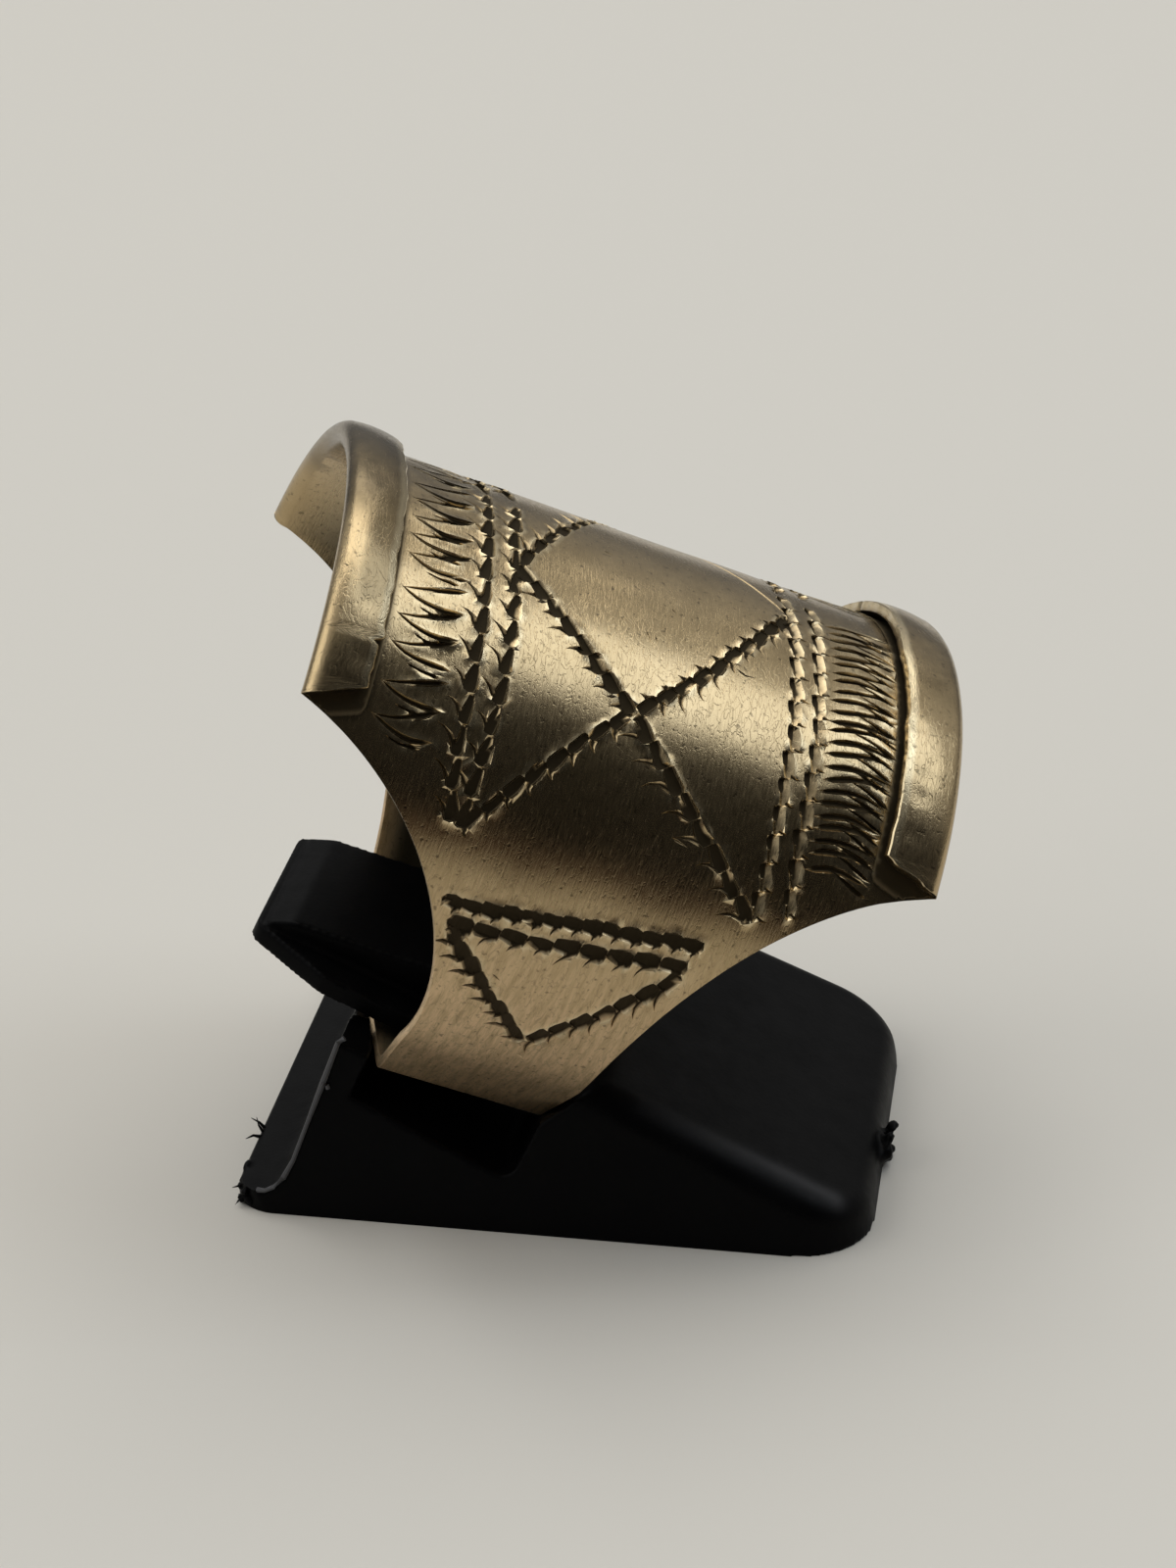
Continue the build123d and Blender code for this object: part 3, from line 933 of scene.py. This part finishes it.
def build_ring(depth):
    """The whole ring as one closed mesh."""
    rows = band_rows()
    paths = {side: [rim_path(side, run) for run in rows] for side in (1, -1)}
    edge_x = {side: np.array([path[1] for path in paths[side]]) for side in (1, -1)}
    parts = MeshParts()
    made, faces, low, shade, lip = engraved_sheet(rows, edge_x, depth)
    # the sheet's cut values hold the cuts' patina and, under the rims, patina with painted shade
    parts.add(
        place_points(made[:, 0], made[:, 1], lip - low),
        faces,
        wrap_of(made[:, 0], made[:, 1]),
        np.maximum(shade, plate_patina_and_shade(made[:, 0], made[:, 1])),
        np.clip(lip / 0.03, 0, 1),
    )
    for side in (1, -1):
        table = np.array([path[0] for path in paths[side]])
        x, height = table[..., 0], table[..., 1]
        run = np.repeat(rows[:, None], x.shape[1], axis=1)
        wave_x = np.repeat(edge_x[side][:, None], x.shape[1], axis=1) * side
        lift = height + unevenness(wave_x, run)
        column = np.arange(x.shape[1])[None, :]
        on_top = column >= RIM_TOP_COLUMN
        for dent_side, at_x, at_run, radius, deep in DENTS:
            if dent_side == side:
                lift = lift - on_top * deep * np.exp(-((x - at_x) ** 2 + (run - at_run) ** 2) / radius**2)
        points = lifted_points(side * x, run, lift)
        steps = np.hypot(np.diff(x, axis=1), np.diff(height, axis=1))
        walked = np.concatenate([x[:, :1], x[:, :1] + np.cumsum(steps, axis=1)], axis=1)
        has_rim = (np.ptp(height[:, :RIM_TOP_COLUMN], axis=1) > 0.02)[:, None]
        on_edge = (column > UNDER_COUNT) & (column <= RIM_TOP_COLUMN)
        worn = np.where(has_rim & on_edge, 0.9, 0.0) * np.ones_like(x)
        # patina and painted shade on the rim's underside, which faces the plate
        rim_patina_and_shade = np.where(has_rim & (column < UNDER_COUNT), 0.9, 0.0) * np.ones_like(x)
        # the left rim: tarnish with painted shade over its top, and painted shade over its fold as well
        # except near run 6.8, where its highlight is left
        if side < 0:
            window = np.clip((9.3 - run) / 1.5, 0, 1) * np.clip((run + 9) / 2, 0, 1)
            off_shine = np.clip((np.abs(run - 6.8) - 1.0) / 1.6, 0, 1)
            tarnish_and_shade = 0.52 * np.maximum(np.clip((10.95 - x) / 0.3, 0, 1), off_shine) * window
            rim_patina_and_shade = np.where(column > RIM_TOP_COLUMN - 2, np.maximum(rim_patina_and_shade, tarnish_and_shade), rim_patina_and_shade)
        parts.add_grid(points, wrap_of(side * walked, run), rim_patina_and_shade, worn)
    # the inner side, straight across between the two folds
    right = np.array([path[0][-1] for path in paths[1]])
    left = np.array([path[0][-1] for path in paths[-1]])
    t = np.linspace(0, 1, 33)[None, :]
    x = right[:, :1] * (1 - t) - left[:, :1] * t
    run = np.repeat(rows[:, None], x.shape[1], axis=1)
    wave = unevenness(edge_x[1], rows)[:, None] * (1 - t) + unevenness(-edge_x[-1], rows)[:, None] * t
    points = lifted_points(x, run, wave - SHEET_T)
    inner = np.clip(np.minimum(t, 1 - t) * 7, 0, 1) * np.ones_like(x)
    parts.add_grid(points, wrap_of(x + 30, run), np.zeros_like(x), np.zeros_like(x), inner.reshape(-1))
    place = (
        Matrix.Translation(RING_CENTRE)
        @ Matrix.Rotation(RING_YAW, 4, "Z")
        @ Matrix.Rotation(RING_TILT, 4, "Y")
        @ Matrix.Rotation(RING_ROLL, 4, "X")
    )
    return parts.finish("silver_ring", place)


def satin_silver(looks):
    """Low-grade silver sheet, hand worked, scratched satin and tarnished.

    It gives a warm champagne sheen that is streaked along the scratches, dark
    patina in the cuts and pale metal where edges are rubbed. Painted shade darkens
    the plate under the rims, the left rim and the inside low down, and painted
    light brightens the shank's bottom.
    """
    material, tree = new_material("satin_tarnished_silver")
    place = add_node(tree, "ShaderNodeUVMap", uv_map="unrolled").outputs["UV"]
    # the unrolled sheet in millimetres
    sheet = scaled(tree, place, (WRAP_SCALE, WRAP_SCALE, 1))
    cut = attribute(tree, "cut")
    worn = attribute(tree, "worn")
    # scratches about 1.5 mm long and 0.06 mm wide, mostly round the band
    lengthwise = scaled(tree, sheet, (0.9, 11.0, 1), 0.06)
    long_scratch = noise(tree, lengthwise, 1.0, 4.0, Roughness=0.65)
    slanted = scaled(tree, sheet, (2.0, 13.0, 1), -0.5)
    short_scratch = noise(tree, slanted, 1.0, 3.0, Roughness=0.6)
    # hair scratches about 0.05 mm wide, curled, a millimetre or two long
    curled = scaled(tree, sheet, (0.55, 1.5, 1), 0.12)
    hair = noise(tree, curled, 1.6, 2.0, Roughness=0.55, Distortion=0.9)
    hair = spread(tree, off_middle(tree, hair, 0.5), 0.0, 0.02, 1.0, 0.0)
    # and a finer tangle across them, half as long
    crossed = scaled(tree, sheet, (0.9, 2.2, 1), -0.45)
    tangle = noise(tree, crossed, 1.5, 1.5, Roughness=0.5, Distortion=1.4)
    tangle = spread(tree, off_middle(tree, tangle, 0.5), 0.0, 0.03, 1.0, 0.0)
    # millimetres round the band from the middle of the plate
    run = add_node(tree, "ShaderNodeSeparateXYZ", {"Vector": sheet}).outputs["X"]
    run = off_middle(tree, run, WRAP_SCALE / 2)
    rub_start = spread(tree, run, 4.5, 6.2, 0.08, 1.0)
    rub_end = spread(tree, run, 8.2, 9.8, 1.0, 0.08)
    most_rubbed = math_of(tree, "MULTIPLY", rub_start, rub_end)
    tangle = math_of(tree, "MULTIPLY", tangle, most_rubbed)
    # tarnish in patches 2 to 6 mm across
    patches = noise(tree, sheet, 0.22, 5.0, Roughness=0.62)
    # specks about 0.15 mm across
    specks = noise(tree, sheet, 4.5, 2.0)
    tarnish = spread(tree, patches, 0.35, 0.68, 0.0, 0.55)
    silver = linear_colour(looks.silver)
    dull = [c * f for c, f in zip(silver, DULLING)]
    colour = blend(tree, tarnish, silver, dull)
    # painted light: paler towards the shank's bottom, in place of the bright floor that it mirrors
    painted_light_low_down = spread(tree, run, 15.5, 22.5, 0.0, 1.0)
    colour = blend(tree, painted_light_low_down, colour, linear_colour("E7CAA2"))
    mottle = noise(tree, slanted, 0.32, 5.0, Roughness=0.75)
    mottle = spread(tree, mottle, 0.42, 0.66, 0.0, 0.75)
    matt_part = spread(tree, run, 13.0, 18.0, 0.25, 1.0)
    less_rubbed = spread(tree, most_rubbed, 0.1, 1.0, 1.0, 0.3)
    mottle = math_of(tree, "MULTIPLY", mottle, matt_part)
    mottle = math_of(tree, "MULTIPLY", mottle, less_rubbed)
    colour = blend(tree, mottle, colour, dull)
    # grime on the plate's top, thicker among the cuts beside the rims
    across = add_node(tree, "ShaderNodeSeparateXYZ", {"Vector": sheet}).outputs["Y"]
    across = off_middle(tree, across, WRAP_SCALE / 2)
    beside = spread(tree, across, 4.3, 5.3, 0.3, 0.55)
    on_top = spread(tree, run, 4.0, 6.3, 1.0, 0.08)
    grime = spread(tree, noise(tree, sheet, 0.9, 5.0, Roughness=0.7), 0.38, 0.62, 0.45, 1.0)
    grime = math_of(tree, "MULTIPLY", grime, beside)
    grime = math_of(tree, "MULTIPLY", grime, on_top)
    colour = blend(tree, grime, colour, linear_colour("4A3F2C"))
    inner = attribute(tree, "inner")
    inner_tarnish = spread(tree, patches, 0.38, 0.68, 0.0, 1.0)
    inner_colour = blend(tree, inner_tarnish, linear_colour("B3A78E"), linear_colour("877B64"))
    colour = blend(tree, inner, colour, inner_colour)
    # painted shade deep inside, between the shank's sides
    low_down = spread(tree, run, 10.0, 14.5, 0.0, 0.94)
    painted_shade_inside = math_of(tree, "MULTIPLY", inner, low_down)
    colour = blend(tree, painted_shade_inside, colour, linear_colour("24221A"))
    colour = blend(tree, worn, colour, linear_colour(looks.bright_silver))
    # patina where a cut is deep, in specks and in the hair scratches low down. The cut values also carry
    # patina and painted shade on the plate under the rims, and tarnish and painted shade on the rims
    deep = spread(tree, cut, 0.1, 0.9, 0.0, 0.9)
    speck_mask = spread(tree, specks, 0.61, 0.72, 0.0, 0.5)
    on_shank = spread(tree, run, 10.0, 16.0, 0.04, 0.26)
    dirty_hair = math_of(tree, "MULTIPLY", hair, on_shank)
    dark = math_of(tree, "MAXIMUM", deep, speck_mask)
    dark = math_of(tree, "MAXIMUM", dark, dirty_hair)
    colour = blend(tree, dark, colour, linear_colour(looks.patina))
    gloss = spread(tree, short_scratch, 0.3, 0.7, looks.roughness - 0.05, looks.roughness + 0.06)
    # only thick patina is matt
    matt = spread(tree, cut, 0.52, 0.9, 0.0, 0.9)
    gloss = math_of(tree, "ADD", gloss, matt)
    gloss = math_of(tree, "MULTIPLY_ADD", inner, 0.16, gloss)
    # the plate is rubbed smooth, the shank below it stayed matt
    shank = spread(tree, run, 15.0, 18.5, 0.0, 0.2)
    gloss = math_of(tree, "ADD", gloss, shank)
    gloss = add_node(tree, "ShaderNodeClamp", {"Value": gloss, "Min": 0.1, "Max": 0.75}).outputs["Result"]
    bumps = math_of(tree, "ADD", long_scratch, short_scratch)
    for mark, weight in ((hair, -0.25), (tangle, -1.1), (speck_mask, -1.2)):
        bumps = math_of(tree, "MULTIPLY_ADD", mark, weight, bumps)
    normal = bumped(tree, bumps, 0.18, 0.03 * MM)
    finish_material(tree, Base_Color=colour, Metallic=1.0, Roughness=gloss, Normal=normal)
    return material


def moulded_plastic(looks):
    """Black ABS, injection moulded with a fine satin grain, lightly scuffed.

    It gives a soft bluish sheen, pale grey flash, a painted highlight along the ridge between the deck and
    the near wall, and dust.
    """
    material, tree = new_material("black_moulded_abs")
    place = add_node(tree, "ShaderNodeTexCoord").outputs["Object"]
    # object axes in millimetres
    solid = scaled(tree, place, (1 / MM, 1 / MM, 1 / MM))
    # mould grain 0.12 mm across, coarser than the real one so that it shows
    grain = noise(tree, solid, 6.0, 2.0)
    scuffs = noise(tree, solid, 0.6, 6.0, Roughness=0.7)
    dust = noise(tree, solid, 3.2, 3.0, Roughness=0.8)
    dusty = spread(tree, dust, 0.62, 0.78, 0.0, 0.18)
    colour = blend(tree, dusty, linear_colour(looks.plastic), linear_colour("141516"))
    # pale grey: the whitened flash, and a painted highlight along the ridge
    colour = blend(tree, attribute(tree, "scuff_and_highlight"), colour, linear_colour("565658"))
    gloss = spread(tree, scuffs, 0.3, 0.7, 0.36, 0.52)
    normal = bumped(tree, grain, 0.25, 0.02 * MM)
    finish_material(
        tree, Base_Color=colour, Roughness=gloss, IOR=1.45, Specular_IOR_Level=0.075, Normal=normal
    )
    return material


def plain_paper(text):
    """Matt paper with a faint grain, which gives an even pale ground and soft shadows."""
    material, tree = new_material("matt_paper")
    place = add_node(tree, "ShaderNodeTexCoord").outputs["Object"]
    # paper fibres about 0.5 mm across, drawn coarse enough to show
    normal = bumped(tree, noise(tree, place, 1800.0, 3.0), 0.06, 0.05 * MM)
    # the floor in front of the view is dark, a guess at what the ring's flank mirrors
    ahead = add_node(tree, "ShaderNodeSeparateXYZ", {"Vector": place}).outputs["Y"]
    ahead = spread(tree, ahead, -0.12, -0.05, 1.0, 0.0, interpolation_type="SMOOTHSTEP")
    ground = blend(tree, ahead, linear_colour(text), linear_colour("4A3629"))
    finish_material(tree, Base_Color=ground, Roughness=0.9, Specular_IOR_Level=0.15, Normal=normal)
    return material


def link_new(name, data):
    """A new object in the scene."""
    made = bpy.data.objects.new(name, data)
    bpy.context.scene.collection.objects.link(made)
    return made


def applied(source, name):
    """A mesh with the object's modifiers applied."""
    graph = bpy.context.evaluated_depsgraph_get()
    mesh = bpy.data.meshes.new_from_object(source.evaluated_get(graph))
    mesh.name = name
    return mesh


# lumps of flash and the sprue's stub on the moulding: middle, and half sizes
LUMP_COLUMNS = ("x", "y", "z", "half_x", "half_y", "half_z")
LUMPS = (
    (11.74, -1.5, 0.62, 0.25, 1.0, 0.5),
    (12.0, -0.75, 1.05, 0.22, 0.32, 0.22),
    (12.1, -1.1, 1.28, 0.22, 0.32, 0.16),
    (12.02, -1.75, 1.15, 0.19, 0.3, 0.22),
    (12.0, -2.1, 0.75, 0.22, 0.28, 0.28),
    (12.0, -1.8, 0.36, 0.22, 0.3, 0.2),
    (12.05, -1.1, 0.25, 0.19, 0.34, 0.18),
    (-11.6, -6.7, 0.8, 0.14, 0.35, 0.13),
)
CORNER_LUMPS = (
    (-11.25, -7.9, 0.4, 0.32, 0.34, 0.3),
    (-11.55, -7.7, 0.55, 0.16, 0.2, 0.16),
    (-11.5, -8.0, 0.2, 0.18, 0.2, 0.16),
    (-11.15, -8.25, 0.3, 0.22, 0.16, 0.22),
    (-11.3, -8.2, 0.62, 0.16, 0.16, 0.14),
)
# whitened flash and burrs left by the mould's parting line: radius, then points
FLASH = (
    (0.1, ((-7.5, -7.42, 7.0), (-7.74, -7.47, 6.83), (-8.32, -7.75, 5.2), (-8.87, -7.99, 3.68),
           (-9.42, -8.24, 2.15), (-9.78, -8.36, 1.46), (-10.17, -8.42, 1.04), (-10.5, -8.44, 0.87),
           (-10.8, -8.36, 0.83))),
    (0.09, ((-8.3, -7.76, 5.3), (-8.14, -7.78, 5.2), (-8.1, -7.8, 5.05))),
)
BURRS = (
    (0.09, ((-11.55, -4.6, 0.75), (-11.85, -4.7, 0.85), (-12.1, -4.9, 0.8))),
    (0.08, ((-11.55, -4.0, 0.75), (-11.8, -3.9, 0.95), (-12.1, -3.95, 1.15))),
    (0.07, ((-11.55, -4.3, 0.75), (-11.75, -4.2, 1.0), (-11.85, -4.1, 1.3))),
    (0.07, ((-11.3, -7.8, 0.5), (-11.7, -7.8, 0.55), (-11.85, -8.0, 0.6))),
    (0.08, ((-11.2, -8.1, 0.3), (-11.55, -8.3, 0.25), (-11.65, -8.45, 0.15))),
)
# the ridge between the deck and the near wall carries a painted highlight: its two ends
RIDGE = (Vector((3.4, -7.15, 4.95)), Vector((10.4, -7.25, 1.75)))
# the foot's near left corner is worn round: its middle and radius in plan
WORN_CORNER = (-10.15, -6.95, 1.65)
# how the solid's edges are softened: voxel size in millimetres, strength of a
# smoothing pass and share of the faces that is kept
VOXEL_SIZE, SMOOTHING, FACES_KEPT = 0.1, 0.5, 0.4
STAND_SHARP_ANGLE = math.radians(45)


def rough_lump(work, lump):
    """A small ragged lump of plastic."""
    row = dict(zip(LUMP_COLUMNS, lump))
    made = bmesh.ops.create_icosphere(work, subdivisions=2, radius=1.0)
    for vert in made["verts"]:
        push = draws.uniform(0.75, 1.2)
        vert.co = Vector(
            (
                row["x"] + vert.co.x * row["half_x"] * push,
                row["y"] + vert.co.y * row["half_y"] * push,
                row["z"] + vert.co.z * row["half_z"] * push,
            )
        )


def thin_strand(work, radius, path, taper):
    """A closed six-sided strand along a path, which may taper to a point."""
    layer = work.verts.layers.float["scuff_and_highlight"]
    centres = [Vector(p) for p in path]
    rings = []
    for k, centre in enumerate(centres):
        way = (centres[min(k + 1, len(centres) - 1)] - centres[max(k - 1, 0)]).normalized()
        across = way.orthogonal().normalized()
        other = way.cross(across)
        wide = radius * (1 - 0.85 * k / (len(centres) - 1) if taper else draws.uniform(0.8, 1.2))
        ring = []
        for turn in np.linspace(0, 2 * math.pi, 7)[:-1]:
            vert = work.verts.new(centre + wide * (math.cos(turn) * across + math.sin(turn) * other))
            vert[layer] = 0.0 if taper else 1.0
            ring.append(vert)
        rings.append(ring)
    for first, second in zip(rings[:-1], rings[1:]):
        for k in range(6):
            work.faces.new((first[k], first[(k + 1) % 6], second[(k + 1) % 6], second[k]))
    work.faces.new(rings[0][::-1])
    work.faces.new(rings[-1])


def build_stand(passes):
    """The stand's solid with the soft edges, flash and sprue stub of a real moulding."""
    work = bmesh.new()
    work.from_mesh(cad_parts["clip_stand"].data)
    work.transform(Matrix.Scale(1 / MM, 4))
    for lump in LUMPS:
        rough_lump(work, lump)
    mesh = bpy.data.meshes.new("clip_stand_draft")
    work.to_mesh(mesh)
    work.free()
    draft = link_new("clip_stand_draft", mesh)
    remesh = draft.modifiers.new("remesh", "REMESH")
    remesh.mode = "VOXEL"
    remesh.voxel_size = VOXEL_SIZE
    smooth = draft.modifiers.new("smooth", "SMOOTH")
    smooth.factor = SMOOTHING
    smooth.iterations = passes
    fewer = draft.modifiers.new("fewer", "DECIMATE")
    fewer.ratio = FACES_KEPT
    mesh = applied(draft, "moulded_stand")
    bpy.data.objects.remove(draft)
    work = bmesh.new()
    work.from_mesh(mesh)
    middle_x, middle_y, corner_r = WORN_CORNER
    for vert in work.verts:
        off_x, off_y = vert.co.x - middle_x, vert.co.y - middle_y
        if off_x < 0 and off_y < 0 and math.hypot(off_x, off_y) > corner_r:
            pull = corner_r / math.hypot(off_x, off_y)
            vert.co.x, vert.co.y = middle_x + off_x * pull, middle_y + off_y * pull
    layer = work.verts.layers.float.new("scuff_and_highlight")
    # a painted highlight along the ridge, growing paler towards its lower end
    ridge = RIDGE[1] - RIDGE[0]
    for vert in work.verts:
        part = (vert.co - RIDGE[0]).dot(ridge) / ridge.length_squared
        off = (vert.co - RIDGE[0] - min(max(part, 0.0), 1.0) * ridge).length
        vert[layer] = min(max(0.1 + 0.5 * part, 0.0), 0.45) * math.exp(-((off / 0.4) ** 2))
    for lump in CORNER_LUMPS:
        rough_lump(work, lump)
    for strands, taper in ((FLASH, False), (BURRS, True)):
        for radius, path in strands:
            thin_strand(work, radius, path, taper)
    work.transform(Matrix.Scale(MM, 4))
    work.to_mesh(mesh)
    work.free()
    mesh.shade_smooth()
    mesh.set_sharp_from_angle(angle=STAND_SHARP_ANGLE)
    return mesh


class OBJECT_OT_silver_ring(bpy.types.Operator):
    """Build the engraved silver ring in place of its plain solid"""

    bl_idname = "object.add_silver_ring"
    bl_label = "Silver ring"

    def execute(self, context):
        looks = context.scene.ring_looks
        ring = link_new("silver_ring", build_ring(looks.groove_depth / MM))
        ring.data.materials.append(satin_silver(looks))
        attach(ring, "root")
        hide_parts("ring_band")
        return {"FINISHED"}


class OBJECT_OT_clip_stand(bpy.types.Operator):
    """Build the moulded clip stand in place of its plain solid"""

    bl_idname = "object.add_clip_stand"
    bl_label = "Clip stand"

    def execute(self, context):
        looks = context.scene.stand_looks
        stand = link_new("moulded_stand", build_stand(looks.edge_rounding))
        stand.data.materials.append(moulded_plastic(looks))
        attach(stand, "root")
        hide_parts("clip_stand")
        return {"FINISHED"}


# STUDIO, in metres: half the floor's side, and the point that the lights look at
FLOOR_HALF = 1.5
LIGHT_AIM = (0.0, 0.0, 0.012)
# the way to the dark front of the room
DARK_WAY = (0.59, -0.77, 0.22)
# the camera that was fitted to the photograph: its sensor, lens and place in
# millimetres, then its own right and back
SENSOR_WIDTH, LENS = 36.0, 78.75
CAMERA_PLACE = Vector((17.92, -112.72, 69.11))
CAMERA_RIGHT = Vector((0.9882, 0.1532, -0.0028))
CAMERA_BACK = Vector((0.1393, -0.8904, 0.4334))


def soft_light(name, direction, distance, size, power, tint):
    """A square area light that looks at the ring."""
    data = bpy.data.lights.new(name, "AREA")
    data.shape = "SQUARE"
    data.size = size
    data.energy = power
    data.color = linear_colour(tint)[:3]
    made = link_new(name, data)
    way = Vector(direction).normalized()
    made.location = Vector(LIGHT_AIM) + way * distance
    made.rotation_mode = "QUATERNION"
    made.rotation_quaternion = way.to_track_quat("Z", "Y")


def room_light(world):
    """A dim pale room whose front, where the viewer stands, is darker."""
    world.use_nodes = True
    tree = world.node_tree
    tree.nodes.clear()
    way = add_node(tree, "ShaderNodeTexCoord").outputs["Generated"]
    height = add_node(tree, "ShaderNodeSeparateXYZ", {"Vector": way}).outputs["Z"]
    ceiling = spread(tree, height, 0.05, 0.55, 0.17, 0.53)
    inputs = {0: way, 1: DARK_WAY}
    toward = add_node(tree, "ShaderNodeVectorMath", inputs, operation="DOT_PRODUCT").outputs["Value"]
    front = spread(tree, toward, 0.45, 0.86, 1.0, 0.05, interpolation_type="SMOOTHSTEP")
    strength = math_of(tree, "MULTIPLY", ceiling, front)
    room = add_node(tree, "ShaderNodeBackground", {"Color": linear_colour("FFFFFD"), "Strength": strength})
    add_node(tree, "ShaderNodeOutputWorld", {"Surface": room.outputs["Background"]})


class OBJECT_OT_ring_studio(bpy.types.Operator):
    """Build the floor, the lights and the camera"""

    bl_idname = "object.add_ring_studio"
    bl_label = "Studio"

    def execute(self, context):
        looks = context.scene.studio_looks
        mesh = bpy.data.meshes.new("paper_floor")
        corners = [(x * FLOOR_HALF, y * FLOOR_HALF, 0) for x, y in ((-1, -1), (1, -1), (1, 1), (-1, 1))]
        mesh.from_pydata(corners, [], [(0, 1, 2, 3)])
        floor = link_new("paper_floor", mesh)
        floor.data.materials.append(plain_paper(looks.floor))
        key = looks.key_power
        soft_light("key_light", (0.6, 0.06, 0.79), distance=0.6, size=0.3, power=key, tint="E8F3FF")
        soft_light("fill_light", (-0.75, -0.2, 0.6), distance=0.8, size=0.6, power=1.2, tint="FFFFFD")
        soft_light("back_light", (-0.05, 0.38, 0.92), distance=0.9, size=0.8, power=3.6, tint="FFFFFD")
        context.scene.world = context.scene.world or bpy.data.worlds.new("room")
        room_light(context.scene.world)
        # a plain tone curve, which is a guess from the photograph
        context.scene.view_settings.view_transform = "Standard"
        data = bpy.data.cameras.new("camera")
        data.sensor_width = SENSOR_WIDTH
        data.lens = LENS
        data.clip_start = 0.005
        data.clip_end = 10.0
        camera = link_new("camera", data)
        right = CAMERA_RIGHT.normalized()
        back = CAMERA_BACK.normalized()
        up = back.cross(right).normalized()
        turn = Matrix((right, up, back)).transposed().to_4x4()
        camera.matrix_world = Matrix.Translation(CAMERA_PLACE * MM) @ turn
        context.scene.camera = camera
        return {"FINISHED"}


class VIEW3D_PT_silver_ring(bpy.types.Panel):
    """Builders of the ring, its stand and the studio"""

    bl_label = "Silver ring"
    bl_space_type = "VIEW_3D"
    bl_region_type = "UI"
    bl_category = "Silver ring"

    def draw(self, context):
        layout = self.layout
        of_ring = ("groove_depth", "silver", "bright_silver", "patina", "roughness")
        groups = (
            ("object.add_silver_ring", context.scene.ring_looks, of_ring),
            ("object.add_clip_stand", context.scene.stand_looks, ("plastic", "edge_rounding")),
            ("object.add_ring_studio", context.scene.studio_looks, ("floor", "key_power")),
        )
        for operator, looks, names in groups:
            box = layout.box()
            for name in names:
                box.prop(looks, name)
            box.operator(operator)


CLASSES = (
    RingLooks,
    StandLooks,
    StudioLooks,
    OBJECT_OT_silver_ring,
    OBJECT_OT_clip_stand,
    OBJECT_OT_ring_studio,
    VIEW3D_PT_silver_ring,
)


def register():
    for made in CLASSES:
        bpy.utils.register_class(made)
    bpy.types.Scene.ring_looks = bpy.props.PointerProperty(type=RingLooks)
    bpy.types.Scene.stand_looks = bpy.props.PointerProperty(type=StandLooks)
    bpy.types.Scene.studio_looks = bpy.props.PointerProperty(type=StudioLooks)


def unregister():
    del bpy.types.Scene.ring_looks
    del bpy.types.Scene.stand_looks
    del bpy.types.Scene.studio_looks
    for made in reversed(CLASSES):
        bpy.utils.unregister_class(made)


def main():
    register()
    bpy.ops.object.add_ring_studio()
    bpy.ops.object.add_silver_ring()
    bpy.ops.object.add_clip_stand()


if __name__ == "__main__":
    main()
